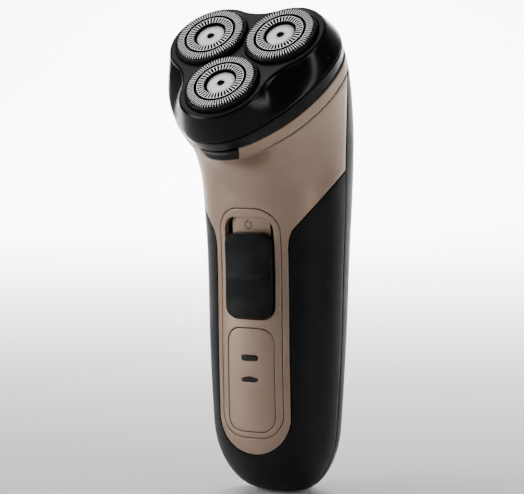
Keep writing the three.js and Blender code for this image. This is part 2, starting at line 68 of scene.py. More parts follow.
def makeCamera():
    a, e = studio["azimuth"] * deg, studio["elevation"] * deg
    back = Vector((math.sin(a) * math.cos(e), -math.cos(a) * math.cos(e), math.sin(e)))
    data = bpy.data.cameras.new("shopCamera")
    data.lens, data.sensor_width = studio["lens"], studio["sensor"]
    data.clip_start, data.clip_end = 0.01, 20
    camera = bpy.data.objects.new("shopCamera", data)
    bpy.context.scene.collection.objects.link(camera)
    camera.location = (Vector(studio["target"]) + back * studio["distance"]) * mm
    camera.rotation_mode = "QUATERNION"
    camera.rotation_quaternion = (-back).to_track_quat("-Z", "Y")
    bpy.context.scene.camera = camera


# each light: place (m), aim (m), size (m), power (W), spread (degrees)
lightRig = {
    "keyLeft": ((-0.8, -0.7, 0.35), (0, -0.01, 0.09), (0.5, 0.9), 6.8, 180),
    "stripRight": ((0.95, -0.25, 0.3), (0, -0.01, 0.09), (0.15, 0.9), 2.1, 180),
    "topSoft": ((-0.47, -0.08, 1.02), (0, -0.03, 0.15), (0.45, 0.45), 1.7, 180),
    "floorWash": ((-0.75, 1.1, 1.3), (-0.75, 1.3, 0), (1.5, 0.9), 72.0, 100),
    "wallWash": ((-1.1, 0.4, 1.2), (-1.3, 1.8, 0.5), (1.2, 0.5), 34.0, 90),
}


def makeLights():
    for name, (place, aim, size, power, spread) in lightRig.items():
        data = bpy.data.lights.new(name, "AREA")
        data.shape, data.size, data.size_y = "RECTANGLE", size[0], size[1]
        data.energy, data.spread = power, spread * deg
        lamp = bpy.data.objects.new(name, data)
        bpy.context.scene.collection.objects.link(lamp)
        lamp.location = place
        lamp.rotation_mode = "QUATERNION"
        lamp.rotation_quaternion = (Vector(aim) - Vector(place)).to_track_quat("-Z", "Y")
    world = bpy.data.worlds.new("paleRoom")
    bpy.context.scene.world = world
    world.use_nodes = True
    tree = world.node_tree
    ground = tree.nodes["Background"]
    ground.inputs["Color"].default_value = linear(studio["worldColor"])
    seen = addNode(tree, "ShaderNodeLightPath").outputs["Is Camera Ray"]  # the room looks pale, lights little
    strength = addNode(tree, "ShaderNodeMapRange",
                       {"To Min": studio["roomLight"], "To Max": studio["roomSeen"]}, {"Value": seen})
    tree.links.new(strength.outputs["Result"], ground.inputs["Strength"])


def addNode(tree, kind, settings=None, links=None):  # one node, its settings, and what feeds its inputs
    node = tree.nodes.new(kind)
    for key, value in (settings or {}).items():
        if isinstance(key, int) or key in node.inputs:
            node.inputs[key].default_value = value
        else:
            setattr(node, key, value)
    for key, source in (links or {}).items():
        tree.links.new(source, node.inputs[key])
    return node


def newMaterial(name, color, roughness, metallic=0.0, **sockets):
    material = bpy.data.materials.new(name)
    material.use_nodes = True
    tree = material.node_tree
    shader = tree.nodes["Principled BSDF"]
    shader.inputs["Base Color"].default_value = linear(color)
    shader.inputs["Roughness"].default_value = roughness
    shader.inputs["Metallic"].default_value = metallic
    for key, value in sockets.items():
        shader.inputs[key].default_value = value
    return material, tree, shader


mottle = {"size": 14, "from": 0.3, "to": 0.7}  # broad patches in mm, and the part of the noise that is used


def surfaceDetail(tree, shader, grain, bumpHeight, roughRange, colors=None):
    # grain and bumpHeight in mm: a fine noise gives the bump, a broad one varies roughness and tint
    place = addNode(tree, "ShaderNodeTexCoord").outputs["Object"]
    fine = addNode(tree, "ShaderNodeTexNoise",
                   {"Scale": 1000 / grain, "Detail": 3.0, "Roughness": 0.6}, {"Vector": place})
    broad = addNode(tree, "ShaderNodeTexNoise",
                    {"Scale": 1000 / mottle["size"], "Detail": 4.0, "Roughness": 0.65}, {"Vector": place})
    bump = addNode(tree, "ShaderNodeBump",
                   {"Strength": 1.0, "Distance": bumpHeight * mm}, {"Height": fine.outputs["Fac"]})
    tree.links.new(bump.outputs["Normal"], shader.inputs["Normal"])
    rough = addNode(tree, "ShaderNodeMapRange",
                    {"From Min": mottle["from"], "From Max": mottle["to"],
                     "To Min": roughRange[0], "To Max": roughRange[1]}, {"Value": broad.outputs["Fac"]})
    tree.links.new(rough.outputs["Result"], shader.inputs["Roughness"])
    if colors:
        tint = addNode(tree, "ShaderNodeValToRGB", {}, {"Fac": broad.outputs["Fac"]})
        for stop, color, at in zip(tint.color_ramp.elements, colors, (mottle["from"], mottle["to"])):
            stop.color, stop.position = linear(color), at
        tree.links.new(tint.outputs["Color"], shader.inputs["Base Color"])


def champagnePaint():  # metallic lacquer on ABS: fine flake sparkle under a satin coat
    coat = {"Coat Weight": 0.15, "Coat Roughness": 0.3}
    material, tree, shader = newMaterial("champagneMetallicPaint", "#a58d7b", 0.38, 0.75, **coat)
    surfaceDetail(tree, shader, 0.35, 0.004, (0.36, 0.44), ("#a28a78", "#a9917f"))
    return material


def softTouchBlack():  # ABS under a soft-touch coat: even near-black with a broad soft sheen
    sheen = {"Specular IOR Level": 0.2}
    material, tree, shader = newMaterial("softTouchBlackCoat", "#0a0a0c", 0.5, 0.0, **sheen)
    surfaceDetail(tree, shader, 0.25, 0.006, (0.44, 0.54), ("#09090b", "#0c0c0e"))
    return material


def glossBlack():  # polished-mould ABS: near-black with clear reflections and faint handling haze
    gloss = {"IOR": 1.53, "Specular IOR Level": 0.2}
    material, tree, shader = newMaterial("glossMouldedBlackAbs", "#050506", 0.2, 0.0, **gloss)
    surfaceDetail(tree, shader, 3.0, 0.002, (0.16, 0.26))
    return material


def satinFaceBlack():  # spark-eroded mould texture on the head's top face: fine-grained satin charcoal
    sheen = {"Specular IOR Level": 0.22}
    material, tree, shader = newMaterial("sparkTexturedBlackAbs", "#101012", 0.42, 0.0, **sheen)
    surfaceDetail(tree, shader, 0.3, 0.008, (0.36, 0.48), ("#0f0f11", "#131315"))
    return material


def sliderBlack():  # satin-moulded ABS: slightly bluish black that shows the ridge by its sheen
    sheen = {"Specular IOR Level": 0.18}
    material, tree, shader = newMaterial("satinMouldedBlackAbs", "#08090b", 0.42, 0.0, **sheen)
    surfaceDetail(tree, shader, 0.3, 0.005, (0.36, 0.48), ("#07080a", "#0a0b0d"))
    return material


def matteBlack():  # plain moulded ABS for the float rings and inner parts: dull, slightly grainy black
    sheen = {"Specular IOR Level": 0.25}
    material, tree, shader = newMaterial("matteMouldedBlackAbs", "#09090a", 0.5, 0.0, **sheen)
    surfaceDetail(tree, shader, 0.4, 0.008, (0.42, 0.58), ("#080809", "#0c0c0d"))
    return material


def lappedSteel():  # stamped stainless guard, lapped: bright grey with fine turning marks
    material, tree, shader = newMaterial("lappedStainlessSteel", "#d2d3d4", 0.3, 1.0)
    surfaceDetail(tree, shader, 0.2, 0.003, (0.26, 0.36), ("#cccdce", "#d8d9da"))
    return material


def groundSteelWithPaintedShade():  # ground and hardened blade steel, coloured darker than bare steel as painted shade: dark metal in the depth of the slots
    material, tree, shader = newMaterial("groundBladeSteelPaintedShade", "#202123", 0.5, 1.0)
    surfaceDetail(tree, shader, 0.25, 0.004, (0.42, 0.58), ("#1d1e20", "#242527"))
    return material


def platedSteel():  # nickel-plated pins, screws and motor can: bright, faintly warm metal
    material, tree, shader = newMaterial("nickelPlatedSteel", "#b4b5b4", 0.25, 1.0)
    surfaceDetail(tree, shader, 0.4, 0.004, (0.2, 0.34), ("#adaead", "#bbbcba"))
    return material


def spunAluminium():  # turned disc: silver with concentric marks and a matt anodised finish
    material, tree, shader = newMaterial("spunAnodisedAluminium", "#d6d7d7", 0.34, 1.0)
    surfaceDetail(tree, shader, 0.18, 0.004, (0.3, 0.42), ("#cfd0d0", "#dddede"))
    return material


def machinedBrass():  # turned brass pinion: warm yellow metal with fine tool marks
    material, tree, shader = newMaterial("machinedBrass", "#c9a45a", 0.3, 1.0)
    surfaceDetail(tree, shader, 0.3, 0.004, (0.25, 0.4), ("#c09b52", "#d0ac63"))
    return material


def naturalAcetal():  # moulded acetal gears and spindles: waxy off-white, a little translucent
    depth = {"Subsurface Weight": 0.1, "Subsurface Scale": 0.001}
    material, tree, shader = newMaterial("naturalAcetal", "#e2ded2", 0.42, 0.0, **depth)
    surfaceDetail(tree, shader, 0.6, 0.006, (0.36, 0.5), ("#ddd9cc", "#e6e3d8"))
    return material


def smokedAcrylic():  # moulded acrylic lenses, unlit: near-black with a sharp shine
    material, tree, shader = newMaterial("smokedAcrylic", "#060403", 0.12, 0.0, **{"IOR": 1.49})
    surfaceDetail(tree, shader, 0.8, 0.002, (0.08, 0.18))
    return material


def solderMask():  # lacquered circuit board: semi-gloss green, mottled by the copper under it
    material, tree, shader = newMaterial("greenSolderMask", "#1f5c38", 0.35, 0.0)
    surfaceDetail(tree, shader, 0.8, 0.01, (0.28, 0.42), ("#1b5332", "#25683f"))
    return material


def shrinkSleeve():  # heat-shrunk sleeve of the cell: smooth green film with slight waves
    material, tree, shader = newMaterial("shrinkSleeveGreen", "#2f7a4a", 0.25, 0.0)
    surfaceDetail(tree, shader, 1.5, 0.01, (0.2, 0.34), ("#2b7245", "#348150"))
    return material


finishes = {
    "champagne_paint": champagnePaint(), "soft_black": softTouchBlack(), "gloss_black": glossBlack(),
    "slider_plastic": sliderBlack(), "black_plastic": matteBlack(), "guard_steel": lappedSteel(),
    "disc_metal": spunAluminium(), "blade_steel": groundSteelWithPaintedShade(), "plated_steel": platedSteel(),
    "pinion_brass": machinedBrass(), "acetal": naturalAcetal(), "lens_plastic": smokedAcrylic(),
    "board_green": solderMask(), "battery_wrap": shrinkSleeve(),
}
faceBlack = satinFaceBlack()


def meshFrom(name, points, faces, material, sharp=40.0):  # points in mm; edges over sharp degrees stay hard
    data = bpy.data.meshes.new(name)
    data.from_pydata((np.asarray(points, float) * mm).tolist(), [], [list(map(int, f)) for f in faces])
    data.validate()
    piece = bpy.data.objects.new(name, data)
    bpy.context.scene.collection.objects.link(piece)
    data.materials.append(material)
    data.polygons.foreach_set("use_smooth", [True] * len(data.polygons))
    data.set_sharp_from_angle(angle=sharp * deg)
    return piece


def merged(points, faces, digits=3):  # points closer than a micrometre become one
    keys, index, kept = {}, [], []
    for i, p in enumerate(np.round(points, digits) + 0.0):
        key = tuple(p)
        if key not in keys:
            keys[key] = len(kept)
            kept.append(i)
        index.append(keys[key])
    out = []
    for f in faces:
        g = [index[i] for i in f]
        g = [v for k, v in enumerate(g) if v != g[k - 1]]
        if len(g) > 2:
            out.append(g)
    return kept, out


def gridFaces(rows, cols, closed=False):  # four-sided faces over rows of points, closed round a ring
    last = cols if closed else cols - 1
    return [(i * cols + j, i * cols + (j + 1) % cols, (i + 1) * cols + (j + 1) % cols, (i + 1) * cols + j)
            for i in range(rows - 1) for j in range(last)]


onMirror = 2e-3  # a point nearer than this to x = 0 stands on it


def sheetSolid(outer, inner, faces):  # closes a sheet with its inner copy and walls round each free edge
    kept, faces = merged(outer, faces)
    outer, inner = outer[kept], inner[kept]
    count = len(outer)
    edges = dict.fromkeys((a, b) for f in faces for a, b in zip(f, f[1:] + f[:1]))
    walls = [(b, a, a + count, b + count) for a, b in edges if (b, a) not in edges]
    back = [tuple(v + count for v in reversed(f)) for f in faces]
    return np.vstack([outer, inner]), [tuple(f) for f in faces] + back + walls


def mirroredX(points, faces):  # adds the left-hand half
    count = len(points)
    twin = points * np.array((-1, 1, 1))
    return np.vstack([points, twin]), list(faces) + [tuple(v + count for v in reversed(f)) for f in faces]


def turned(profile, segments=96, centre=(0, 0)):  # closed ring or solid from (radius, height) pairs
    points, faces = [], []
    rows = len(profile)
    for k in range(segments):
        a = 2 * math.pi * k / segments
        points += [(centre[0] + r * math.cos(a), centre[1] + r * math.sin(a), h) for r, h in profile]
    onAxis = profile[0][0] < 1e-6 and profile[-1][0] < 1e-6  # closed in the middle already
    for k in range(segments):
        n = (k + 1) % segments
        for i in range(rows - 1 if onAxis else rows):
            j = (i + 1) % rows
            faces.append((k * rows + i, n * rows + i, n * rows + j, k * rows + j))
    kept, faces = merged(np.array(points, float), faces, 4)
    return np.array(points, float)[kept], faces


def curved(t, a, b, c):  # from a to c, pulled towards b
    return (1 - t) ** 2 * a + 2 * t * (1 - t) * b + t * t * c


def rounded(profile, radius, steps=4):  # rounds each corner of a closed (radius, height) loop
    points = [np.array(p, float) for p in profile]
    out = []
    for k, p in enumerate(points):
        a, b = points[k - 1] - p, points[(k + 1) % len(points)] - p
        la, lb = np.linalg.norm(a), np.linalg.norm(b)
        cut = min(radius, la * 0.45, lb * 0.45)
        start, end = p + a / la * cut, p + b / lb * cut
        for t in np.linspace(0, 1, steps):
            out.append(tuple(curved(t, start, p, end)))
    return out


def finishPiece(piece, body, slot, *nodes):
    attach(piece, body)
    if nodes:
        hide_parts(*nodes)
    return piece


def addPiece(name, points, faces, body, slot, *nodes, sharp=40.0):
    return finishPiece(meshFrom(name, points, faces, finishes[slot], sharp), body, slot, *nodes)


handle = {
    "widths": ((0, 20.4), (22, 22.2), (50, 23.8), (80, 24.6), (102.2, 25.4)),
    "fronts": ((0, 17.4), (22, 19.6), (45, 20.6), (84, 21.5), (102.2, 24.4)),
    "backs": ((0, 18), (22, 18.9), (45, 20), (84, 22.8), (102.2, 24.2)),
    "corner": 2.2, "baseX": 7.5, "baseY": 6.0, "baseCentre": 4.2,
    "roll": 22.0, "domeSide": 22.0, "domeFront": 26.0, "domeBack": 18.0,
    "neckTop": 102.2, "neckPivot": -50.0, "neckRise": 104.2, "neckBlend": 2.2, "neckFullness": 0.6,
    "neckRun": 30.0, "rimTaper": 0.985, "rimWide": 0.015, "lip": 0.36,
}
easing = {"weights": (1, 4, 6, 4, 1), "offsets": (-5, -2.5, 0, 2.5, 5), "from": 28, "over": 10, "endOver": 6}
splitShape = {"depths": (1.5, 1.5, -8.5), "heights": (96, 118, 144.5), "far": (-16, 172)}
head = {
    "y": -29.7, "z": 152.2, "tilt": 44 * deg, "spacing": 26.6,
    "rim": (17.4, -46), "belt": (18.3, -60), "face": (15.6, 19),
    "rimLevel": -15.4, "collarLevel": -20.4, "split": -10.8, "top": -2.0,
    "coverBack": 23.5, "skirtBack": 22.2, "wall": 1.6,
}
cutterRadius = head["spacing"] / math.sqrt(3)
cutterAngles = {"front": -90 * deg, "left": 150 * deg, "right": 30 * deg}
cutterAt = {k: (cutterRadius * math.cos(a), cutterRadius * math.sin(a)) for k, a in cutterAngles.items()}
axisV = np.array((0, math.cos(head["tilt"]), math.sin(head["tilt"])))
axisN = np.array((0, -math.sin(head["tilt"]), math.cos(head["tilt"])))


def fromHead(points):  # (x, v, n) in the head's frame to the handle's frame
    p = np.asarray(points, float)
    return (np.array((0, head["y"], head["z"])) + p[..., :1] * np.array((1.0, 0, 0))
            + p[..., 1:2] * axisV + p[..., 2:3] * axisN)


def smoothCurve(rows):  # a smooth line through (height, reach) pairs
    p = np.array(rows, float)
    q = np.vstack([p[:1], p, p[-1:]])
    t = np.linspace(0, 1, 40)[:, None]
    out = []
    for a, b, c, d in zip(q, q[1:], q[2:], q[3:]):
        v0, v1 = (c - a) / 2, (d - b) / 2
        out.append((2 * b - 2 * c + v0 + v1) * t ** 3 + (-3 * b + 3 * c - 2 * v0 - v1) * t ** 2 + v0 * t + b)
    return np.vstack(out)


handleCurves = {k: smoothCurve(handle[k]) for k in ("widths", "fronts", "backs")}


def curveAt(name, z):
    curve = handleCurves[name]
    return np.interp(z, curve[:, 0], curve[:, 1])


def lobed(angle, shape):  # arcs round the cutters, joined by hollow (+) or bulging (-) ones
    lobe, side = shape
    third = 2 * math.pi / 3
    d = np.abs((angle - math.pi / 6 + math.pi / 3) % third - math.pi / 3)
    g = math.pi / 3 - d
    half = head["spacing"] / 2
    hollow = 1 if side > 0 else -1
    reach = math.sqrt((lobe + side) ** 2 - half ** 2)  # from between two cutters to the joining arc's centre
    centre = cutterRadius / 2 + hollow * reach
    between = centre * np.cos(g) - hollow * np.sqrt(np.maximum(side ** 2 - (centre * np.sin(g)) ** 2, 0))
    share = lobe / (lobe + side)
    touch = math.atan2(centre * math.sqrt(3) / 2 * share, cutterRadius + (centre / 2 - cutterRadius) * share)
    arc = cutterRadius * np.cos(d) + np.sqrt(np.maximum(lobe ** 2 - (cutterRadius * np.sin(d)) ** 2, 0))
    return np.where(d <= touch, arc, between)


def superellipse(angle, a, b):  # reach of the squarish cross-section in a direction
    p = handle["corner"]
    return ((np.abs(np.cos(angle)) / a) ** p + (np.abs(np.sin(angle)) / b) ** p) ** (-1 / p)


def quarter(z, height):  # share of the full width on a rounded bottom end
    return np.sqrt(np.maximum(0, 1 - (1 - np.minimum(z / height, 1)) ** 2))


def rawPoint(psi, s):  # point of the outside at an angle round the handle and a way up its surface
    h = handle
    roll = h["roll"]
    z = np.where(s < roll, roll * (1 - np.cos(np.pi * np.clip(s, 0, roll) / (2 * roll))),
                 np.minimum(s, h["neckTop"]))
    side = quarter(z, h["domeSide"])
    a = h["baseX"] + (curveAt("widths", z) - h["baseX"]) * side
    c = h["baseCentre"]
    low = c - h["baseY"] - (curveAt("fronts", z) + c - h["baseY"]) * quarter(z, h["domeFront"])
    high = c + h["baseY"] + (curveAt("backs", z) - c - h["baseY"]) * quarter(z, h["domeBack"])
    centre = c * (1 - side)
    r = superellipse(psi, a, np.where(np.sin(psi) < 0, centre - low, high - centre))
    column = np.stack([r * np.cos(psi), centre + r * np.sin(psi), z], -1)
    t = np.maximum(s - h["neckTop"], 0) / h["neckRun"]
    tilt = head["tilt"] * t
    end = fromHead((0, 0, head["collarLevel"]))
    reach = math.hypot(end[1] - h["neckPivot"], end[2] - h["neckRise"])
    middle = -h["neckPivot"] + (reach + h["neckPivot"]) * t
    w = t ** (h["neckBlend"] - h["neckFullness"] * (1 + np.sin(psi)))  # the back fills out sooner
    footDepth = np.where(np.sin(psi) < 0, h["fronts"][-1][1], h["backs"][-1][1])
    foot = superellipse(psi, h["widths"][-1][1], footDepth)
    r = (1 - w) * foot + w * lobed(psi, head["rim"]) * h["rimTaper"]
    out = middle + r * np.sin(psi)
    neck = np.stack([r * np.cos(psi) * (1 + h["rimWide"] * w), h["neckPivot"] + out * np.cos(tilt),
                     h["neckRise"] + (h["neckTop"] - h["neckRise"]) * (1 - t) + out * np.sin(tilt)], -1)
    return np.where((t > 0)[..., None], neck, column)


def handlePoint(psi, s):  # the same surface with the change from grip to neck eased
    psi, s = np.broadcast_arrays(np.asarray(psi, float), np.asarray(s, float))
    plain = rawPoint(psi, s)
    weighted = (k * rawPoint(psi, s + d) for k, d in zip(easing["weights"], easing["offsets"]))
    eased = sum(weighted) / sum(easing["weights"])
    ease = np.clip((s - easing["from"]) / easing["over"], 0, 1)[..., None]
    end = np.clip((neckEnd - s) / easing["endOver"], 0, 1)[..., None]
    return plain + (eased - plain) * ease * end


neckEnd = handle["neckTop"] + handle["neckRun"]


def handleNormal(psi, s):
    turn, climb = 0.02, 0.2
    around = handlePoint(psi + turn, s) - handlePoint(psi - turn, s)
    upwards = handlePoint(psi, s + climb) - handlePoint(psi, np.maximum(s - climb, 0.001))
    n = np.cross(around, upwards)
    return n / np.maximum(np.linalg.norm(n, axis=-1, keepdims=True), 1e-9)


def splitLine(z):  # depth of the line between front and rear shells
    t = np.linspace(0, 1, 40)
    farDepth, farHeight = splitShape["far"]
    y, height = curved(t, *splitShape["depths"]), curved(t, *splitShape["heights"])
    return np.interp(z, np.append(height, farHeight), np.append(y, farDepth))


def splitAngle(s):  # angle of that line on the right-hand side
    s = np.asarray(s, float)
    low, high = np.full(s.shape, -75 * deg), np.full(s.shape, 75 * deg)
    for _ in range(30):
        middle = (low + high) / 2
        p = handlePoint(middle, s)
        behind = p[..., 1] > splitLine(p[..., 2])
        low, high = np.where(behind, low, middle), np.where(behind, middle, high)
    return (low + high) / 2


def onFront(x, z):  # (psi, s) of a point of the front seen at (x, z), right-hand half
    x, z = np.broadcast_arrays(np.asarray(x, float), np.asarray(z, float))
    roll = handle["roll"]
    s = np.where(z < roll, np.arccos(np.clip(1 - z / roll, -1, 1)) * 2 * roll / np.pi, z)
    for _ in range(8):  # the angle by halving, then a step up or down the surface
        low, high = np.full(x.shape, -90.0 * deg), np.full(x.shape, 4.0 * deg)
        for _ in range(26):
            middle = (low + high) / 2
            small = handlePoint(middle, s)[..., 0] < x
            low, high = np.where(small, middle, low), np.where(small, high, middle)
        psi = (low + high) / 2
        s = s + (z - handlePoint(psi, s)[..., 2]) * np.where(s < roll, 0.6, 0.9)
    return np.stack([psi, s], -1)


def lipDepth(d, radius=None):  # how far the surface rolls in at distance d from an edge
    radius = radius or handle["lip"]
    return radius * (1 - np.sqrt(np.maximum(0, 1 - (1 - np.clip(d, 0, radius) / radius) ** 2)))


lipSteps = np.array((0, 0.036, 0.11, 0.22, 0.36))
shortRow = 1.4  # a row shorter than this is spread as if it were this long


def lippedSpan(low, high, count):  # levels from low to high, crowded at both ends for the rolled edges
    between = np.linspace(low + lipSteps[-1], high - lipSteps[-1], count)[1:-1]
    return np.concatenate([low + lipSteps, between, high - lipSteps[::-1]])


def acrossRow(inner, outer, count, lips):  # shares along a row, crowded the same way
    length = max(np.linalg.norm(handlePoint(*outer) - handlePoint(*inner)), shortRow)
    between = np.linspace(lipSteps[-1] / length, 1 - lipSteps[-1] / length, count + 2)[1:-1]
    w = np.concatenate([lipSteps / length, between, 1 - lipSteps[::-1] / length])
    far = np.full(w.shape, 9.0)  # an edge without a lip is far from everything
    near = np.minimum(w * length if lips[0] else far, (1 - w) * length if lips[1] else far)
    return w, lipDepth(near)


def patchGrid(innerPath, outerPath, count, lips, bow=None):  # rows from one path to the other, in (psi, s)
    rows, depth = [], []
    for k, (a, b) in enumerate(zip(innerPath, outerPath)):
        w, d = acrossRow(a, b, count, (lips[0][k], lips[1][k]))
        rows.append(a + (b - a) * w[:, None])
        if bow is not None:  # lifted in the middle, to stay above the slanting edge
            rows[-1][:, 1] += bow[k] * 4 * w * (1 - w)
        depth.append(d)
    return np.array(rows), np.array(depth)


def handlePiece(grids, thickness, raised=None, extra=None):  # solid from patches of the right-hand half
    outers, inners, faces, start = [], [], [], 0
    for rows, depth in grids:
        p = handlePoint(rows[..., 0], rows[..., 1])
        n = handleNormal(rows[..., 0], rows[..., 1])
        proud = raised(p) if raised else 0
        outers.append((p + n * (proud - depth)[..., None]).reshape(-1, 3))
        inners.append((p - n * thickness).reshape(-1, 3))
        mid = rows.shape[0] // 2, rows.shape[1] // 2
        across, along = p[mid[0], mid[1] + 1] - p[mid], p[mid[0] + 1, mid[1]] - p[mid]
        turn = np.dot(np.cross(across, along), n[mid]) < 0
        faces += [tuple(v + start for v in (reversed(f) if turn else f)) for f in gridFaces(*rows.shape[:2])]
        start += len(outers[-1])
    if extra:
        outers.append(extra[0])
        inners.append(extra[1])
        faces += [tuple(v + start for v in f) for f in extra[2]]
    outer, inner = np.vstack(outers), np.vstack(inners)
    outer[np.abs(outer[:, 0]) < onMirror, 0] = 0
    inner[np.abs(outer[:, 0]) < onMirror, 0] = 0
    outer, both = mirroredX(outer, faces)
    return sheetSolid(outer, mirroredX(inner, [])[0], both)


def samples(*pieces):  # joins stretches of (x, z) points given as (count, function of 0..1)
    out = []
    for k, (count, shape) in enumerate(pieces):
        t = np.linspace(0, 1, count + 1)[0 if k == 0 else 1:]
        out.append(np.stack(np.broadcast_arrays(*shape(t)), -1))
    return np.vstack(out)


def line(a, b):  # both give a function of 0..1
    return lambda t: (a[0] + (b[0] - a[0]) * t, a[1] + (b[1] - a[1]) * t)


def arc(centre, radius, start, end):
    return lambda t: (centre[0] + radius * np.cos((start + (end - start) * t) * deg),
                      centre[1] + radius * np.sin((start + (end - start) * t) * deg))


def half(pill, counts=(6, 10, 24, 10, 6), grow=0.0):  # right half of a rounded rectangle, bottom to top
    w, r = pill["half"] + grow, pill["corner"] + grow
    low, high = pill["bottom"] - grow, pill["top"] + grow
    path = (line((0, low), (w - r, low)), arc((w - r, low + r), r, -90, 0), line((w, low + r), (w, high - r)),
            arc((w - r, high - r), r, 0, 90), line((w - r, high), (0, high)))
    return samples(*zip(counts, path))


def upSurface(z):  # way up the surface of a height near the base
    roll = handle["roll"]
    return math.acos(1 - z / roll) * 2 * roll / math.pi if z < roll else z


shells = {
    "gap": 0.15, "thickness": 1.8, "coverBottom": 14.3, "coverHalf": 13.9, "bend": 85, "bendPull": 4,
    "knee": (15.5, 92), "slant": 1.08, "slantTurn": 28.0, "slantFrom": 90.0, "baseCap": 3.0,
    "bow": 7.0, "bowRow": 82, "bowSpread": 12,
}
panelShape = {"bottom": 20.6, "top": 98.9, "half": 11.5, "corner": 8}
plateShape = {"bottom": 22.7, "top": 58.3, "half": 8.9, "corner": 5}
slotShape = {"bottom": 61.5, "top": 95.9, "half": 9.2, "corner": 4.5}
thumbShape = {"bottom": 61.8, "top": 90.7, "half": 8.8, "corner": 4}
lampShape = {"width": 6, "height": 1.8, "heights": (40.9, 48.1), "spine": 0.8, "thickness": 2.4, "sunk": 0.12}


def splitEdge(s, grow):  # (psi, s) of the split line, moved grow millimetres towards the back
    psi = splitAngle(s)
    radius = np.linalg.norm((handlePoint(psi, s) - handlePoint(psi + 0.5 * deg, s)), axis=-1) / (0.5 * deg)
    return np.stack([psi + grow / radius, np.broadcast_to(s, psi.shape)], -1)


def coverEdge(grow, counts):  # right half of the cover's outline, from its bottom to where it meets the split
    c = shells
    w = c["coverHalf"] + grow
    middle = c["coverBottom"] + c["coverHalf"]
    kneeX, kneeZ = c["knee"]
    turn = c["slantTurn"] * deg

    def sideways(p):  # the slanting edge is straight when it is looked at from this side
        return p[..., 0] * math.cos(turn) + p[..., 1] * math.sin(turn)

    def bend(t):
        return curved(t, w, w, kneeX + grow), curved(t, c["bend"], c["bend"] + c["bendPull"], kneeZ)

    lower = onFront(*samples((counts[0], arc((0, middle), w, -90, 0)),
                             (counts[1], line((w, middle), (w, c["bend"]))), (counts[2], bend)).T)
    start = sideways(handlePoint(lower[-1, 0], lower[-1, 1]))

    def rise(psi, s):  # height of a surface point over the slanting edge
        p = handlePoint(psi, s)
        return p[..., 2] - kneeZ - c["slant"] * (sideways(p) - start)

    low, high = np.array([c["slantFrom"]]), np.array([neckEnd])
    for _ in range(40):  # where the slanting edge meets the split line
        top = (low + high) / 2
        under = rise(splitAngle(top), top) < 0
        low, high = np.where(under, top, low), np.where(under, high, top)
    corner = splitEdge(top, -shells["gap"])[0]
    psi = lower[-1, 0] + (corner[0] - lower[-1, 0]) * np.linspace(0, 1, counts[3] + 1)[1:-1]
    low, high = np.full(psi.shape, kneeZ - 2.0), np.full(psi.shape, neckEnd)
    for _ in range(40):
        level = (low + high) / 2
        under = rise(psi, level) < 0
        low, high = np.where(under, level, low), np.where(under, high, level)
    slant = np.stack([psi, level], -1)
    return np.vstack([lower, slant, corner[None]])


coverCounts = (24, 28, 4, 24)


def frontCover():
    g = shells["gap"]
    edge = coverEdge(-g, coverCounts)
    tip = edge[-1, 1]
    climb = splitEdge(np.linspace(tip, neckEnd - g, 19)[1:], -g)
    over = np.linspace(climb[-1, 0], -90 * deg, 31)[1:]
    outer = np.vstack([edge, climb, np.stack([over, np.full(over.shape, neckEnd - g)], -1)])
    inner = onFront(*half(panelShape, (10, 14, 32, 54, 18), shells["gap"]).T)
    rows = len(outer)
    on = [True] * rows
    bow = shells["bow"] * np.exp(-((np.arange(rows) - shells["bowRow"]) / shells["bowSpread"]) ** 2)
    points, faces = handlePiece([patchGrid(inner, outer, 14, (on, on), bow)], shells["thickness"])
    return addPiece("frontCover", points, faces, "handle", "champagne_paint", "front_cover")


def stadiumHalf(angle, width, height, middle):  # point of the inlet's outline in a direction from its middle
    reach = (width - height) / 2
    c, s = math.cos(angle), math.sin(angle)
    r = height / 2 / max(abs(s), 1e-6)
    if abs(r * c) > reach:
        b = reach * abs(c)
        r = b + math.sqrt(max(b * b - reach * reach + (height / 2) ** 2, 0))
    return r * c, middle + r * s


inletShape = {"width": 11.6, "height": 8.0, "y": 5.4, "clear": 0.3}


def frontShell():
    g = shells["gap"]
    cap = upSurface(shells["baseCap"])
    inner = coverEdge(g, coverCounts)
    tip = inner[-1, 1]
    low, across, up = 30, 6, 12  # columns round the front, rows over the flat base and up its rounded edge
    corner = splitEdge(np.array([cap]), -g)[0]
    floorPsi = np.linspace(-90 * deg, corner[0], low + 1)
    bottom = np.stack([floorPsi, np.full(low + 1, cap)], -1)
    climb = splitEdge(cap + (tip - cap) * np.linspace(0, 1, len(inner) - low)[1:] ** 0.9, -g)
    outer = np.vstack([bottom, climb])
    outer[-1] = inner[-1]
    side = patchGrid(inner, outer, 12, ([True] * len(outer), [False] * (low + 1) + [True] * len(climb)))
    around = np.concatenate([floorPsi, np.linspace(corner[0], 90 * deg, 31)[1:]])
    levels = cap * np.linspace(1, 0, up)
    cup = np.array([[(psi, s) for s in levels] for psi in around])
    base = cup, np.zeros(cup.shape[:2])
    edge = handlePoint(around, np.zeros(around.shape))
    flatOuter, flatInner, w = [], [], np.linspace(0, 1, across)
    for p in edge:  # the flat base runs in to the inlet
        angle = math.atan2(p[1] - inletShape["y"], p[0])
        q = stadiumHalf(angle, inletShape["width"] + 2 * inletShape["clear"],
                        inletShape["height"] + 2 * inletShape["clear"], inletShape["y"])
        row = p[:2] + (np.array(q) - p[:2]) * w[:, None]
        flatOuter.append(np.column_stack([row, np.zeros(across)]))
        flatInner.append(np.column_stack([row, np.full(across, shells["thickness"])]))
    flatOuter, flatInner = np.vstack(flatOuter), np.vstack(flatInner)
    faces = [tuple(reversed(f)) for f in gridFaces(len(edge), across)]
    a, b, c = flatOuter[list(faces[0][:3])]
    if np.cross(b - a, c - a)[2] > 0:
        faces = [tuple(reversed(f)) for f in faces]
    points, faces = handlePiece([side, base], shells["thickness"], extra=(flatOuter, flatInner, faces))
    return addPiece("frontShell", points, faces, "handle", "soft_black", "front_shell")


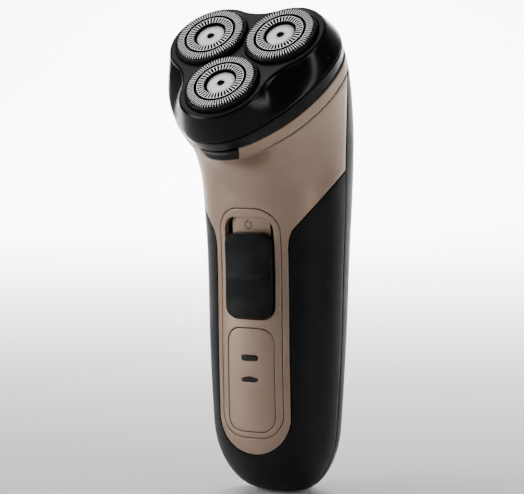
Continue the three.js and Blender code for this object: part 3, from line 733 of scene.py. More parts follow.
def rearShell():
    g = shells["gap"]
    start, end = upSurface(shells["baseCap"] + 2 * g), neckEnd - g
    s = lippedSpan(start, end, 92)
    inner = splitEdge(s, g)
    outer = np.stack([np.full(s.shape, 90 * deg), s], -1)
    rows, depth = patchGrid(inner, outer, 30, ([True] * len(s), [False] * len(s)))
    ends = lipDepth(np.minimum(s - start, end - s))
    points, faces = handlePiece([(rows, np.maximum(depth, ends[:, None]))], shells["thickness"])
    return addPiece("rearShell", points, faces, "handle", "soft_black", "rear_shell")


panelLook = {"divider": 59.9, "thickness": 1.9, "edge": 0.1, "clear": 0.05, "corner": 0.3}


def controlPanel():  # a frame round the plate and one round the switch, in one piece
    c = panelLook
    divide, knee = c["divider"], c["corner"]
    w, r = panelShape["half"] - c["clear"], panelShape["corner"]
    low, high = panelShape["bottom"] + c["clear"], panelShape["top"] - c["clear"]
    holeCounts, rim, cross = (6, 8, 20, 8, 6), 36, 13  # rows along the outer rim and along the divider
    on = [True] * (rim + cross)
    inner = half(plateShape, holeCounts, c["edge"])
    outer = samples((4, line((0, low), (w - r, low))), (14, arc((w - r, low + r), r, -90, 0)),
                    (16, line((w, low + r), (w, divide - knee))), (1, line((w, divide - knee), (w, divide))),
                    (1, line((w, divide), (w - knee, divide))), (12, line((w - knee, divide), (0, divide))))
    lower = patchGrid(onFront(*inner.T), onFront(*outer.T), 6, (on, [True] * rim + [False] * cross))
    inner = half(slotShape, holeCounts, c["edge"])
    outer = samples((12, line((0, divide), (w - knee, divide))), (1, line((w - knee, divide), (w, divide))),
                    (1, line((w, divide), (w, divide + knee))), (16, line((w, divide + knee), (w, high - r))),
                    (14, arc((w - r, high - r), r, 0, 90)), (4, line((w - r, high), (0, high))))
    upper = patchGrid(onFront(*inner.T), onFront(*outer.T), 6, (on, [False] * cross + [True] * rim))
    points, faces = handlePiece([lower, upper], c["thickness"])
    return addPiece("controlPanel", points, faces, "handle", "champagne_paint", "control_panel")


def lampHalf(middle, count, grow=0.12):  # right half of a lamp slot's outline
    r = lampShape["height"] / 2 + grow
    reach = (lampShape["width"] - lampShape["height"]) / 2
    return ((count[0], line((0, middle - r), (reach, middle - r))),
            (count[1], arc((reach, middle), r, -90, 90)),
            (count[0], line((reach, middle + r), (0, middle + r))))


plateCounts = (4, 8, 28, 8, 4)


def indicatorPlate():
    low, high = lampShape["heights"]
    clear = panelLook["edge"]
    edge = lampShape["height"] / 2 + clear
    bottom, top = plateShape["bottom"] + clear, plateShape["top"] - clear
    inner = samples((14, line((0, bottom), (0, low - edge))), *lampHalf(low, (3, 6)),
                    (4, line((0, low + edge), (0, high - edge))), *lampHalf(high, (3, 6)),
                    (10, line((0, high + edge), (0, top))))
    shape = dict(plateShape, half=plateShape["half"] - clear, bottom=bottom, top=top, corner=4.9)
    outer = half(shape, plateCounts)
    lips = [False] * 15 + [True] * 11 + [False] * 5 + [True] * 11 + [False] * 11  # round the two lamps
    grid = patchGrid(onFront(*inner.T), onFront(*outer.T), 8, (lips, [True] * len(outer)))
    points, faces = handlePiece([grid], panelLook["thickness"])
    return addPiece("indicatorPlate", points, faces, "handle", "champagne_paint", "indicator_plate")


def lampLens(name, middle, node):
    outline = samples(*lampHalf(middle, (4, 10), -0.02))
    spine = samples((18, line((0, middle - lampShape["spine"]), (0, middle + lampShape["spine"]))))
    grid = patchGrid(onFront(*spine.T), onFront(*outline.T), 4, ([False] * 19, [True] * 19))
    points, faces = handlePiece([grid], lampShape["thickness"],
                                raised=lambda p: np.full(p.shape[:2], -lampShape["sunk"]))
    return addPiece(name, points, faces, "handle", "lens_plastic", node)


switchLook = {
    "bedDepth": 2.35, "bedThickness": 1.2, "bedOver": 1.4, "thickness": 1.6, "proud": 1.5,
    "ridgeAt": 76.0, "ridge": 0.75, "ridgeDrop": 1.1, "ridgeBow": 1.6, "ridgeWidth": 1.0,
    "dish": 0.45, "dishes": ((84, 4.2), (68.5, 3.6)), "dishMargin": 0.4,
}


def switchBed():
    over = switchLook["bedOver"]
    shape = dict(slotShape, bottom=slotShape["bottom"] - over, top=slotShape["top"] + over,
                 half=slotShape["half"] - over)
    outer = half(shape, plateCounts)
    rows = len(outer)
    inner = np.column_stack([np.zeros(rows), np.linspace(shape["bottom"], shape["top"], rows)])
    grid = patchGrid(onFront(*inner.T), onFront(*outer.T), 8, ([False] * rows, [False] * rows))
    depth = switchLook["bedDepth"]
    points, faces = handlePiece([grid], depth + switchLook["bedThickness"],
                                raised=lambda p: np.full(p.shape[:2], -depth))
    return addPiece("switchBed", points, faces, "handle", "champagne_paint", "switch_bed")


def ridgeHeight(p):  # ridge across the slider, dished thumb rests above and below it
    c = switchLook
    z, x = p[..., 2], p[..., 0]
    crest = c["ridgeAt"] - c["ridgeDrop"] + c["ridgeBow"] * (x / thumbShape["half"]) ** 2
    ridge = c["ridge"] * np.exp(-((z - crest) / c["ridgeWidth"]) ** 2)
    dish = -c["dish"] * sum(np.exp(-((z - at) / width) ** 2) for at, width in c["dishes"])
    across = np.clip(1 - (x / (thumbShape["half"] - c["dishMargin"])) ** 4, 0, 1)
    return c["proud"] + (ridge + dish) * across


thumbLip = np.array((0, 0.05, 0.15, 0.3, 0.5, 0.75))  # steps of the slider's larger rounded edge


def switchSlider():
    outer = half(thumbShape, (5, 10, 60, 10, 5))
    heights = np.linspace(thumbShape["bottom"], thumbShape["top"], len(outer))
    spine = np.column_stack([np.zeros(len(outer)), heights])
    lip, shortest = thumbLip[-1], 1.6
    rows, depth = [], []
    for a, b in zip(onFront(*spine.T), onFront(*outer.T)):
        length = max(np.linalg.norm(handlePoint(*b) - handlePoint(*a)), shortest)
        w = np.concatenate([np.linspace(0, 1 - lip / length, 14)[:-1], 1 - thumbLip[::-1] / length])
        rows.append(a + (b - a) * w[:, None])
        depth.append(lipDepth((1 - w) * length, lip))
    grid = np.array(rows), np.array(depth)
    points, faces = handlePiece([grid], switchLook["thickness"], raised=ridgeHeight)
    return addPiece("switchSlider", points, faces, "slider", "slider_plastic", "switch_slider")


markLook = {"x": -0.8, "z": 93.0, "radius": 1.3, "width": 0.12, "from": -236, "to": 56, "steps": 40,
            "bar": ((-0.14, 0.5), (0.14, 0.5), (0.14, 1.75), (-0.14, 1.75)), "above": 0.03, "below": 0.05}


def powerMark():  # printed ring and bar over the slider
    c = markLook
    a = np.linspace(c["from"], c["to"], c["steps"]) * deg
    sides = [c["radius"] * k for k in (1 - c["width"], 1 + c["width"])]
    x = np.stack([c["x"] + r * np.cos(a) for r in sides], -1).ravel()
    z = np.stack([c["z"] + r * np.sin(a) for r in sides], -1).ravel()
    count = len(x)
    x = np.append(x, [c["x"] + bx for bx, bz in c["bar"]])
    z = np.append(z, [c["z"] + bz for bx, bz in c["bar"]])
    faces = gridFaces(c["steps"], 2)
    side = np.sign(np.where(x == 0, 1, x))
    at = onFront(np.abs(x), z)
    p, n = handlePoint(at[:, 0], at[:, 1]), handleNormal(at[:, 0], at[:, 1])
    depth = switchLook["bedDepth"]
    outer, inner = p - n * (depth - c["above"]), p - n * (depth + c["below"])
    outer[:, 0] *= side
    inner[:, 0] *= side
    first, second, third = outer[list(faces[0][:3])]
    if np.cross(second - first, third - first)[1] > 0:
        faces = [tuple(reversed(f)) for f in faces]
    faces.append(tuple(range(count, count + 4)))
    points, faces = sheetSolid(outer, inner, faces)
    return addPiece("powerMark", points, faces, "handle", "black_plastic")


neckLook = {
    "wall": 2.0, "taper": 0.985, "wide": 1.015, "seam": 0.3, "clear": 0.2, "squareEnd": 0.1, "columns": 130,
    "columnSpan": 90, "latchTop": 7.0, "latchBottom": 5.6, "latchLow": -20.1, "latchHigh": -15.7,
    "latchWall": 1.9, "hollow": 0.35, "hollowAt": -17.6, "hollowSize": 1.1,
    "stem": ((-4, -31.2, -19.3), (4, -27.2, -16.4)), "hook": ((-3, -30.4, -17), (3, -29.2, -12.9)),
    "towerEdge": 0.25,
}


def collarPoint(angle, n):
    collarHeight = head["rimLevel"] - head["collarLevel"]
    taper = neckLook["taper"] + (1 - neckLook["taper"]) * (n - head["collarLevel"]) / collarHeight
    r = lobed(angle, head["rim"]) * taper
    level = np.broadcast_to(n, r.shape)
    return np.stack([r * np.cos(angle) * neckLook["wide"], r * np.sin(angle), level], -1)


def latchHalf(n, grow):
    top, bottom = neckLook["latchTop"], neckLook["latchBottom"]
    latchHeight = neckLook["latchHigh"] - neckLook["latchLow"]
    return bottom + (top - bottom) * (n - neckLook["latchLow"]) / latchHeight + grow


def angleAtX(n, x):  # angle near the front where the collar's surface stands at x
    low, high = np.full(n.shape, -90 * deg), np.full(n.shape, -50 * deg)
    for _ in range(30):
        middle = (low + high) / 2
        small = collarPoint(middle, n)[..., 0] < x
        low, high = np.where(small, middle, low), np.where(small, high, middle)
    return (low + high) / 2


def wallSheet(grid, inward, depth):  # outer and inner points of a wall, its edges rolled in by depth
    p = np.asarray(grid)
    out = p[..., :2] / np.maximum(np.linalg.norm(p[..., :2], axis=-1, keepdims=True), 1e-9)
    outer, inner = p.copy(), p.copy()
    outer[..., :2] -= out * depth[..., None]
    inner[..., :2] -= out * inward
    return outer.reshape(-1, 3), inner.reshape(-1, 3)


def facingOut(points, faces):  # turns a closed solid's faces outwards as a whole
    volume = 0.0
    for f in faces:
        a = points[f[0]]
        for b, c in zip(f[1:-1], f[2:]):
            volume += np.dot(a, np.cross(points[b], points[c]))
    return faces if volume > 0 else [tuple(reversed(f)) for f in faces]


def mirroredWall(outer, inner, faces):  # closed solid of a wall and its mirror image
    for side in (outer, inner):
        side[np.abs(side[:, 0]) < onMirror, 0] = 0
    outer, both = mirroredX(outer, faces)
    points, faces = sheetSolid(outer, mirroredX(inner, [])[0], both)
    return points, facingOut(points, faces)


def collarRing():
    c = neckLook
    low, high = head["collarLevel"] + c["seam"], head["rimLevel"]
    n = lippedSpan(low, high, 8)
    start = angleAtX(n, latchHalf(n, c["clear"]))
    span = c["columnSpan"]
    w = np.concatenate([lipSteps / span, np.linspace(lipSteps[-1] / span, 1, c["columns"])[1:]])
    angle = start[:, None] + (90 * deg - start[:, None]) * w
    depth = np.maximum(lipDepth(np.minimum(n - low, high - n))[:, None], lipDepth(w * span)[None, :])
    outer, inner = wallSheet(collarPoint(angle, n[:, None]), c["wall"], depth)
    straight = np.broadcast_to(np.clip(1 - w / c["squareEnd"], 0, 1), angle.shape).ravel()
    inner[:, 0] += (outer[:, 0] - inner[:, 0]) * straight  # square ends leave the latch its way in
    points, faces = mirroredWall(outer, inner, gridFaces(*angle.shape))
    return addPiece("collarRing", fromHead(points), faces, "handle", "champagne_paint", "collar_ring")


def releaseLatch():
    c = neckLook
    low, high = c["latchLow"], c["latchHigh"]
    n = lippedSpan(low, high, 10)
    end = angleAtX(n, latchHalf(n, 0))
    w = np.concatenate([np.linspace(0, 0.96, 14), 1 - lipSteps[-2::-1] / c["latchTop"]])
    angle = -90 * deg + (end[:, None] + 90 * deg) * w
    hollow = c["hollow"] * np.exp(-((n - c["hollowAt"]) / c["hollowSize"]) ** 2)[:, None] * (1 - w ** 4)
    lips = np.maximum(lipDepth(np.minimum(n - low, high - n))[:, None], lipDepth((1 - w) * c["latchTop"]))
    outer, inner = wallSheet(collarPoint(angle, n[:, None]), c["latchWall"], lips + hollow)
    points, faces = mirroredWall(outer, inner, gridFaces(*angle.shape))
    for low, high in (c["stem"], c["hook"]):
        points, faces = withBox(points, faces, low, high)
    return addPiece("releaseLatch", fromHead(points), faces,
                    "latch", "gloss_black", "release_latch", sharp=30)


def hingeTower():  # the CAD tower with its edges eased
    data = bpy.data.objects["hinge_bracket"].data.copy()
    work = bmesh.new()
    work.from_mesh(data)
    bmesh.ops.remove_doubles(work, verts=work.verts, dist=0.002 * mm)
    bmesh.ops.dissolve_limit(work, angle_limit=1.0 * deg, verts=work.verts, edges=work.edges)
    work.to_mesh(data)
    work.free()
    piece = bpy.data.objects.new("hingeTower", data)
    bpy.context.scene.collection.objects.link(piece)
    eased = piece.modifiers.new("easedEdges", "BEVEL")
    eased.width, eased.segments = neckLook["towerEdge"] * mm, 3
    eased.limit_method, eased.angle_limit = "ANGLE", 35 * deg
    data.materials.clear()
    data.materials.append(finishes["gloss_black"])
    data.polygons.foreach_set("use_smooth", [True] * len(data.polygons))
    data.set_sharp_from_angle(angle=35 * deg)
    return finishPiece(piece, "handle", "gloss_black", "hinge_bracket")


def withSolid(points, faces, added, addedFaces):  # two solids as one mesh
    start = len(points)
    moved = [tuple(v + start for v in f) for f in facingOut(added, addedFaces)]
    return np.vstack([points, added]), list(faces) + moved


def withBox(points, faces, low, high):
    corners = [(x, y, z) for z in (low[2], high[2]) for y in (low[1], high[1]) for x in (low[0], high[0])]
    quads = [(0, 2, 3, 1), (4, 5, 7, 6), (0, 1, 5, 4), (1, 3, 7, 5), (3, 2, 6, 7), (2, 0, 4, 6)]
    return withSolid(points, faces, np.array(corners, float), quads)


headLook = {
    "steps": 360, "seam": 0.15, "skirtSeam": 0.3, "draft": 1.3, "backDraft": 0.6,
    "window": 13.05, "windowLip": 0.2, "windowSteps": 96,
    "faceFillet": 1.3, "facePanel": 1.4, "faceDepth": 0.12, "innerShare": 0.955,
    "faceCell": 1.2, "faceLimit": 32, "faceBack": 26, "faceMargin": 0.5,
    "boss": 1.7, "bore": 0.9, "bossEnd": -6.2, "bossSunk": 1.3,
    "hinge": (24.8, -13.9), "knuckle": (1.3, 1.9, 6), "hingeArm": ((-6, 21.5, -15.1), (6, 23.4, -12.7)),
}


def headRadius(angle, n, inset=0.0):
    rim, belt, face = (lobed(angle, head[k]) for k in ("rim", "belt", "face"))
    low = (n - head["rimLevel"]) / (head["split"] - head["rimLevel"])
    high = np.clip((n - head["split"]) / (head["top"] - 1 - head["split"]), 0, 1) ** headLook["draft"]
    return np.where(n <= head["split"], rim + (belt - rim) * low, belt + (face - belt) * high) - inset


def flatBack(angle, r, back):
    s = np.sin(angle)
    return np.where(s * r > back, back / np.maximum(s, 1e-6), r)


def headGrid(angle, n, back, inset=0.0):
    r = flatBack(angle, headRadius(angle, n, inset), back - inset)
    return np.stack([r * np.cos(angle), r * np.sin(angle), np.broadcast_to(n, r.shape)], -1)


def ringAngles():
    return np.linspace(0, 2 * math.pi, headLook["steps"] + 1)[:-1]


def coverWalls(angle):  # rows up the cover's side and over its rolled edge, outside and inside
    c = headLook
    low, top, fillet, back = head["split"] + c["seam"], head["top"], c["faceFillet"], head["coverBack"]
    levels = np.concatenate([low + lipSteps, np.linspace(low + lipSteps[-1], top - fillet, 26)[1:]])
    rows = [headGrid(angle, np.full(angle.shape, n), back, lipDepth(n - low)) for n in levels]
    inside = [headGrid(angle, np.full(angle.shape, n), back, head["wall"]) for n in levels]
    for turn in np.linspace(0, 90, 9)[1:] * deg:
        inset = fillet * (1 - math.cos(turn))
        n = top - fillet + fillet * math.sin(turn)
        rows.append(headGrid(angle, np.full(angle.shape, n), back - inset * c["backDraft"], inset))
        inside.append(headGrid(angle, np.full(angle.shape, min(n, top - c["facePanel"])), back, head["wall"]))
    return rows, inside


def facePlane(angle, boundary):  # the flat top between its outline and three round openings
    c = headLook
    opening = c["window"] + c["windowLip"]
    centres = np.array(list(cutterAt.values()))
    edgeAngles = np.append(angle, 2 * math.pi)
    edgeRadii = np.append(np.hypot(*boundary.T), np.hypot(*boundary[0]))

    def onFace(p, margin):
        reach = np.interp(math.atan2(p[1], p[0]) % (2 * math.pi), edgeAngles, edgeRadii)
        toOpening = np.min(np.linalg.norm(centres - p, axis=1)) - opening
        return math.hypot(*p) < reach - margin and toOpening > margin

    turn = np.linspace(0, 2 * math.pi, c["windowSteps"] + 1)[:-1]
    circles = [np.stack([x + opening * np.cos(turn), y + opening * np.sin(turn)], -1) for x, y in centres]
    cell, limit = c["faceCell"], c["faceLimit"]
    fill = [(x, y) for x in np.arange(-limit, limit, cell) for y in np.arange(-limit, c["faceBack"], cell)]
    flat = [Vector(p) for loop in (boundary, *circles) for p in loop]
    flat += [Vector(p) for p in fill if onFace(np.array(p), c["faceMargin"])]
    edges, first = [], 0
    for loop in (boundary, *circles):
        edges += [(first + i, first + (i + 1) % len(loop)) for i in range(len(loop))]
        first += len(loop)
    found = delaunay_2d_cdt(flat, edges, [], 0, 1e-6)
    xy = np.array([tuple(v) for v in found[0]])
    faces = []
    for t in found[2]:
        if onFace(xy[list(t)].mean(0), 0.0):
            p, q, r = (xy[v] for v in t)
            leftTurn = (q[0] - p[0]) * (r[1] - p[1]) - (q[1] - p[1]) * (r[0] - p[0]) > 0
            faces.append(tuple(t if leftTurn else reversed(t)))
    nearest = np.min(np.linalg.norm(xy[:, None] - centres[None], axis=2), axis=1)
    return xy, faces, nearest < opening + 0.02, circles


def windowLip(circle, centre):  # loops of the small rolled edge down into one opening
    lip, window = headLook["windowLip"], headLook["window"]
    loops = []
    for d in lipSteps[::-1] / lipSteps[-1] * lip:
        drawn = (circle - centre) / (window + lip) * (window + d) + centre
        loops.append(np.column_stack([drawn, np.full(len(circle), head["top"] - lipDepth(d, lip))]))
    return loops


def facePlaces(data, centre):  # each face's height over a point of the head, radius round it, and slope
    count = len(data.polygons)
    middle, normal = np.empty(3 * count), np.empty(3 * count)
    data.polygons.foreach_get("center", middle)
    data.polygons.foreach_get("normal", normal)
    away = middle.reshape(-1, 3) / mm - centre
    level = away @ axisN
    radius = np.sqrt(np.maximum((away ** 2).sum(1) - level ** 2, 0))
    return level, radius, normal.reshape(-1, 3) @ axisN


def paintFaces(data, material, chosen):  # gives the chosen faces a second material
    data.materials.append(material)
    data.polygons.foreach_set("material_index", chosen.astype(np.int32))


def headCover():
    c, top = headLook, head["top"]
    under = top - c["facePanel"]
    angle = ringAngles()
    rows, inside = coverWalls(angle)
    faces = gridFaces(len(rows), len(angle), closed=True)
    xy, plane, onOpening, circles = facePlane(angle, rows[-1][:, :2])
    start = len(rows) * len(angle)
    faces += [tuple(v + start for v in t) for t in plane]
    below = np.where(onOpening[:, None], xy, xy * c["innerShare"])
    outer = rows + [np.column_stack([xy, np.full(len(xy), top)])]
    inner = inside + [np.column_stack([below, np.full(len(xy), under)])]
    start += len(xy)
    for circle, centre in zip(circles, cutterAt.values()):
        loops = windowLip(circle, centre)
        faces += [tuple(v + start for v in f) for f in gridFaces(len(loops), len(circle), closed=True)]
        outer += loops
        inner += [np.column_stack([loop[:, :2], np.full(len(circle), under)]) for loop in loops]
        start += len(loops) * len(circle)
    points, faces = sheetSolid(np.vstack(outer), np.vstack(inner), faces)
    bossTop, bossEnd = top - c["bossSunk"], c["bossEnd"]
    boss = [(c["bore"], bossTop), (c["bore"], bossEnd), (c["boss"], bossEnd), (c["boss"], bossTop)]
    points, faces = withSolid(points, facingOut(points, faces), *turned(boss, 24))
    piece = meshFrom("headCover", fromHead(points), faces, finishes["gloss_black"], sharp=50)
    paintFaces(piece.data, faceBlack, facePlaces(piece.data, fromHead((0, 0, top - c["faceDepth"])))[0] > 0)
    return finishPiece(piece, "head", "gloss_black", "head_cover")


def headSkirt():
    c = headLook
    low, high = head["rimLevel"] + c["skirtSeam"], head["split"] - c["seam"]
    angle = ringAngles()
    levels = lippedSpan(low, high, 10)
    back = head["skirtBack"]
    rows = [headGrid(angle, np.full(angle.shape, n), back, lipDepth(min(n - low, high - n))) for n in levels]
    inside = [headGrid(angle, np.full(angle.shape, n), back, head["wall"]) for n in levels]
    faces = gridFaces(len(rows), len(angle), closed=True)
    points, faces = sheetSolid(np.vstack(rows), np.vstack(inside), faces)
    points, faces = withBox(points, facingOut(points, faces), *c["hingeArm"])
    bore, radius, half = c["knuckle"]
    knuckle, ends = turned([(bore, -half), (radius, -half), (radius, half), (bore, half)], 40)
    back, level = c["hinge"]
    knuckle = np.column_stack([knuckle[:, 2], knuckle[:, 0] + back, knuckle[:, 1] + level])
    points, faces = withSolid(points, faces, knuckle, ends)
    return addPiece("headSkirt", fromHead(points), faces, "head", "gloss_black", "head_skirt")


cutterLook = {
    "ringInner": 12.2, "ringOuter": 12.8, "flange": 13.15, "ringRound": 0.22,
    "ringEnd": -4.8, "flangeTop": -3.8, "ringTop": -0.65, "ringLip": -0.45,
    "radius": 11.96, "hole": 5.6, "plate": 0.3, "groove": 8.75, "grooveWidth": 0.8, "grooveDepth": 1.5,
    "outerSlots": 78, "innerSlots": 40, "outerSlotFrom": 9.35, "innerSlotTo": 8.05, "slotShare": 0.68,
    "discRadius": 5.0, "hub": 1.25,
}


def floatRing(side):
    c = cutterLook
    profile = [(c["ringInner"], c["ringEnd"]), (c["flange"], c["ringEnd"]),
               (c["flange"], c["flangeTop"]), (c["ringOuter"], c["flangeTop"]),
               (c["ringOuter"], c["ringTop"]), (c["ringInner"], c["ringLip"])]
    points, faces = turned(rounded(profile, c["ringRound"]), 128, cutterAt[side])
    return addPiece("floatRing." + side, fromHead(points), facingOut(points, faces),
                    "cutter_" + side, "black_plastic", "float_ring_" + side)


def centreDisc(side):
    r, d = cutterLook["discRadius"], cutterLook["hub"]
    profile = [(0, -1.75), (r - 0.1, -1.75), (r, -1.65), (r, -0.95), (r - 0.08, -0.82), (r - 0.25, -0.75),
               (3.2, -0.72), (d + 0.35, -0.72), (d + 0.15, -0.76), (d + 0.02, -0.86), (d, -1.0), (d, -1.45),
               (0, -1.5)]  # a thin disc with eased edges and the spindle's seat sunk in its middle
    points, faces = turned(profile, 96, cutterAt[side])
    piece = meshFrom("centreDisc." + side, fromHead(points), facingOut(points, faces), finishes["disc_metal"])
    level, radius = facePlaces(piece.data, fromHead((*cutterAt[side], -1.6)))[:2]
    paintFaces(piece.data, finishes["black_plastic"], (radius < d + 0.01) & (level > 0))  # painted shade: the sunk seat is painted black to stand for the dark hole
    return finishPiece(piece, "cutter_" + side, "disc_metal", "centre_disc_" + side)


def slottedWedge(count, profile, first, last):  # one sector: a rib, a slot from first to last, a rib
    h = math.pi / count
    w = h * cutterLook["slotShare"]
    turns = (-h, -w, w, h)
    rows, plate = len(profile), cutterLook["plate"]
    path = np.array(profile)
    along = np.gradient(path, axis=0)
    inward = np.stack([along[:, 1], -along[:, 0]], -1)
    inward /= np.linalg.norm(inward, axis=1, keepdims=True)
    below = path + inward * plate
    points = [(r * math.cos(a), r * math.sin(a), n) for q in (path, below) for a in turns for r, n in q]
    faces = [(j * rows + i, j * rows + i + 1, (j + 1) * rows + i + 1, (j + 1) * rows + i)
             for j in range(3) for i in range(rows - 1) if not (j == 1 and first <= i < last)]
    edges = {(a, b) for f in faces for a, b in zip(f, f[1:] + f[:1])}
    size = 4 * rows
    side = {i for j in (0, 3) for i in range(j * rows, (j + 1) * rows)}
    walls = [(b, a, a + size, b + size) for a, b in sorted(edges)
             if (b, a) not in edges and not (a in side and b in side)]
    return np.array(points), faces + [tuple(v + size for v in reversed(f)) for f in faces] + walls


def ringTree(material):  # turns one sector into a whole ring of them, and sets it in the head
    tree = bpy.data.node_groups.new("ringOfSectors", "GeometryNodeTree")
    face = tree.interface
    face.new_socket("Geometry", in_out="INPUT", socket_type="NodeSocketGeometry")
    ids = {}
    for name, kind, value in (("Sectors", "NodeSocketInt", 96), ("Offset", "NodeSocketVector", (0, 0, 0)),
                              ("Tilt", "NodeSocketFloat", 0.0), ("Origin", "NodeSocketVector", (0, 0, 0))):
        socket = face.new_socket(name, in_out="INPUT", socket_type=kind)
        socket.default_value = value
        ids[name] = socket.identifier
    face.new_socket("Geometry", in_out="OUTPUT", socket_type="NodeSocketGeometry")
    given = addNode(tree, "NodeGroupInput")
    spots = addNode(tree, "GeometryNodeMeshLine", {"mode": "OFFSET", "Offset": (0, 0, 0)},
                    {"Count": given.outputs["Sectors"]})
    index = addNode(tree, "GeometryNodeInputIndex")
    step = addNode(tree, "ShaderNodeMath", {"operation": "DIVIDE"},
                   {0: index.outputs[0], 1: given.outputs["Sectors"]})
    turn = addNode(tree, "ShaderNodeMath", {"operation": "MULTIPLY", 1: 2 * math.pi}, {0: step.outputs[0]})
    spin = addNode(tree, "ShaderNodeCombineXYZ", {}, {"Z": turn.outputs[0]})
    copies = addNode(tree, "GeometryNodeInstanceOnPoints", {}, {"Points": spots.outputs["Mesh"],
                     "Instance": given.outputs["Geometry"], "Rotation": spin.outputs[0]})
    solid = addNode(tree, "GeometryNodeRealizeInstances", {}, {"Geometry": copies.outputs[0]})
    weld = addNode(tree, "GeometryNodeMergeByDistance",
                   {"Distance": 0.000004}, {"Geometry": solid.outputs[0]})
    shift = addNode(tree, "GeometryNodeTransform", {},
                    {"Geometry": weld.outputs[0], "Translation": given.outputs["Offset"]})
    lean = addNode(tree, "ShaderNodeCombineXYZ", {}, {"X": given.outputs["Tilt"]})
    place = addNode(tree, "GeometryNodeTransform", {},
                    {"Geometry": shift.outputs[0], "Rotation": lean.outputs[0],
                     "Translation": given.outputs["Origin"]})
    crisp = addNode(tree, "GeometryNodeSetShadeSmooth",
                    {"Shade Smooth": False}, {"Geometry": place.outputs[0]})
    coat = addNode(tree, "GeometryNodeSetMaterial", {"Material": material}, {"Geometry": crisp.outputs[0]})
    out = addNode(tree, "NodeGroupOutput")
    tree.links.new(coat.outputs[0], out.inputs[0])
    return tree, ids


def ringOf(tree, ids, name, points, faces, count, centre, height=0.0):
    seed = meshFrom(name + ".sector", points, faces, finishes["guard_steel"])
    modifier = seed.modifiers.new("ring", "NODES")
    modifier.node_group = tree
    modifier[ids["Sectors"]] = count
    modifier[ids["Offset"]] = [centre[0] * mm, centre[1] * mm, height * mm]
    modifier[ids["Tilt"]] = head["tilt"]
    modifier[ids["Origin"]] = [0.0, head["y"] * mm, head["z"] * mm]
    seed.update_tag()
    graph = bpy.context.evaluated_depsgraph_get()
    data = bpy.data.meshes.new_from_object(seed.evaluated_get(graph))
    bpy.data.objects.remove(seed)
    piece = bpy.data.objects.new(name, data)
    bpy.context.scene.collection.objects.link(piece)
    return piece


def joined(name, pieces):  # several pieces as one mesh
    work = bmesh.new()
    for piece in pieces:
        work.from_mesh(piece.data)
    data = bpy.data.meshes.new(name)
    for material in pieces[0].data.materials:
        data.materials.append(material)
    work.to_mesh(data)
    work.free()
    for piece in pieces:
        bpy.data.objects.remove(piece)
    out = bpy.data.objects.new(name, data)
    bpy.context.scene.collection.objects.link(out)
    return out


def guard(side, tree, ids):
    c = cutterLook
    r, g, low = c["radius"], c["grooveWidth"] / 2, -c["grooveDepth"]
    outerProfile = [(c["groove"], low), (c["groove"] + g, low + 0.05), (c["groove"] + g + 0.05, -0.12),
                    (c["groove"] + g + 0.15, 0), (c["outerSlotFrom"], 0), (10.6, 0.0), (r - 0.45, -0.02),
                    (r - 0.16, -0.12), (r, -0.4), (r, -1.1), (r, -3.3)]
    innerProfile = [(c["hole"], -1.0), (c["hole"] + 0.03, -0.15), (c["hole"] + 0.15, 0), (6.6, 0),
                    (c["innerSlotTo"], 0), (c["groove"] - g - 0.15, 0), (c["groove"] - g - 0.05, -0.12),
                    (c["groove"] - g, low + 0.05), (c["groove"], low)]
    rings = []
    for name, profile, slot, count in (("outer", outerProfile, (4, 9), c["outerSlots"]),
                                       ("inner", innerProfile, (1, 4), c["innerSlots"])):
        points, faces = slottedWedge(count, profile, *slot)
        rings.append(ringOf(tree, ids, "guard." + name, points, faces, count, cutterAt[side]))
    piece = joined("guard." + side, rings)
    level, radius, slope = facePlaces(piece.data, fromHead((*cutterAt[side], 0.0)))
    # painted shade: faces sunk below the guard's top and the steep slot walls take the darker steel
    sunk = (level < -0.05) & (radius < c["radius"] - 0.5)
    wall = (slope < 0.5) & (radius < c["radius"] - 0.1)
    paintFaces(piece.data, finishes["blade_steel"], sunk | wall)  # painted shade: slot walls and groove get the dark blade steel because they lie in the recesses
    return finishPiece(piece, "cutter_" + side, "guard_steel", "guard_" + side)


springLook = {"coils": 5, "bottom": -15.3, "top": -10.2, "radius": 2.2, "wire": 0.28, "travel": 1.5,
              "steps": 28, "sections": 8}


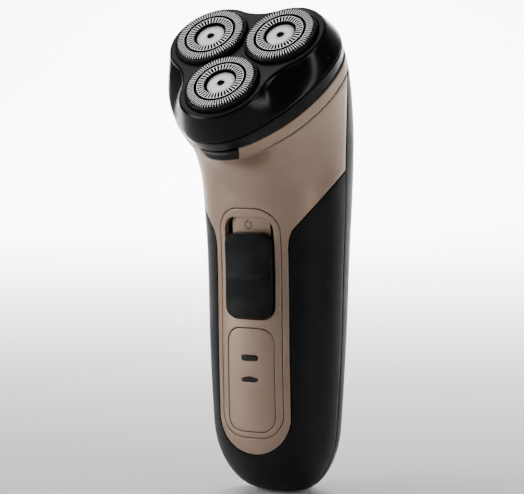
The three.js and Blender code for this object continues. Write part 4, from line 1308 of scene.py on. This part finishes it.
def spindleSpring(side):  # coil of wire round its spindle, carried along with it
    c = springLook
    x, y = cutterAt[side]
    total = c["coils"] * c["steps"]
    points = []
    for k in range(total + 1):
        a = 2 * math.pi * k / c["steps"]
        n = c["bottom"] + (c["top"] - c["bottom"]) * k / total
        for j in range(c["sections"]):
            b = 2 * math.pi * j / c["sections"]
            r = c["radius"] + c["wire"] * math.cos(b)
            points.append((x + r * math.cos(a), y + r * math.sin(a), n + c["wire"] * math.sin(b)))
    faces = gridFaces(total + 1, c["sections"], closed=True)
    lastRing = total * c["sections"]
    faces += [tuple(range(c["sections"])), tuple(reversed(range(lastRing, lastRing + c["sections"])))]
    points = np.array(points)
    piece = addPiece("spindleSpring." + side, fromHead(points), facingOut(points, faces),
                     "spindle_" + side, "blade_steel", "spindle_spring_" + side)
    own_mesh(piece)
    return piece


sweep = {"half": 3, "front": -3.0, "bendAt": 1.3, "bend": 0.5, "top": 3.0, "below": 0.0005}  # metres


def makeFloor():  # floor that runs up into a backdrop, just under the shaver
    c = sweep
    line = [(c["front"], 0.0), (c["bendAt"], 0.0)]
    line += [(c["bendAt"] + c["bend"] * math.sin(a * deg), c["bend"] - c["bend"] * math.cos(a * deg))
             for a in range(10, 91, 10)]
    line.append((c["bendAt"] + c["bend"], c["top"]))
    points = [(x, y, z - c["below"]) for y, z in line for x in (-c["half"], c["half"])]
    data = bpy.data.meshes.new("paleFloor")
    data.from_pydata(points, [], gridFaces(len(line), 2))
    data.polygons.foreach_set("use_smooth", [True] * len(data.polygons))
    data.materials.append(newMaterial("paintedBoard", studio["floorColor"], 0.7)[0])
    floor = bpy.data.objects.new("paleFloor", data)
    bpy.context.scene.collection.objects.link(floor)


def finishInnerParts():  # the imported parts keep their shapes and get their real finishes
    for row in frame["record"]["subparts"]:
        item = bpy.data.objects.get(row["node"])
        if item is None:
            continue
        if not item.material_slots:
            item.data.materials.append(None)
        for place in item.material_slots:
            place.material = finishes[row["material_slot"]]


makeCamera()
makeLights()
makeFloor()
print("camera, lights and floor set")

finishInnerParts()
print("inner parts finished")

frontCover()
frontShell()
rearShell()
controlPanel()
indicatorPlate()
for lensName, lensAt in zip(("lower", "upper"), lampShape["heights"]):
    lampLens("lampLens." + lensName, lensAt, "led_lens_" + lensName)
switchBed()
powerMark()
switchSlider()
print("handle built")

collarRing()
releaseLatch()
hingeTower()
headCover()
headSkirt()
print("head built")

sectors, sectorInputs = ringTree(finishes["guard_steel"])
for side in cutterAt:
    floatRing(side)
    centreDisc(side)
    guard(side, sectors, sectorInputs)
    spindleSpring(side)
print("cutters built")
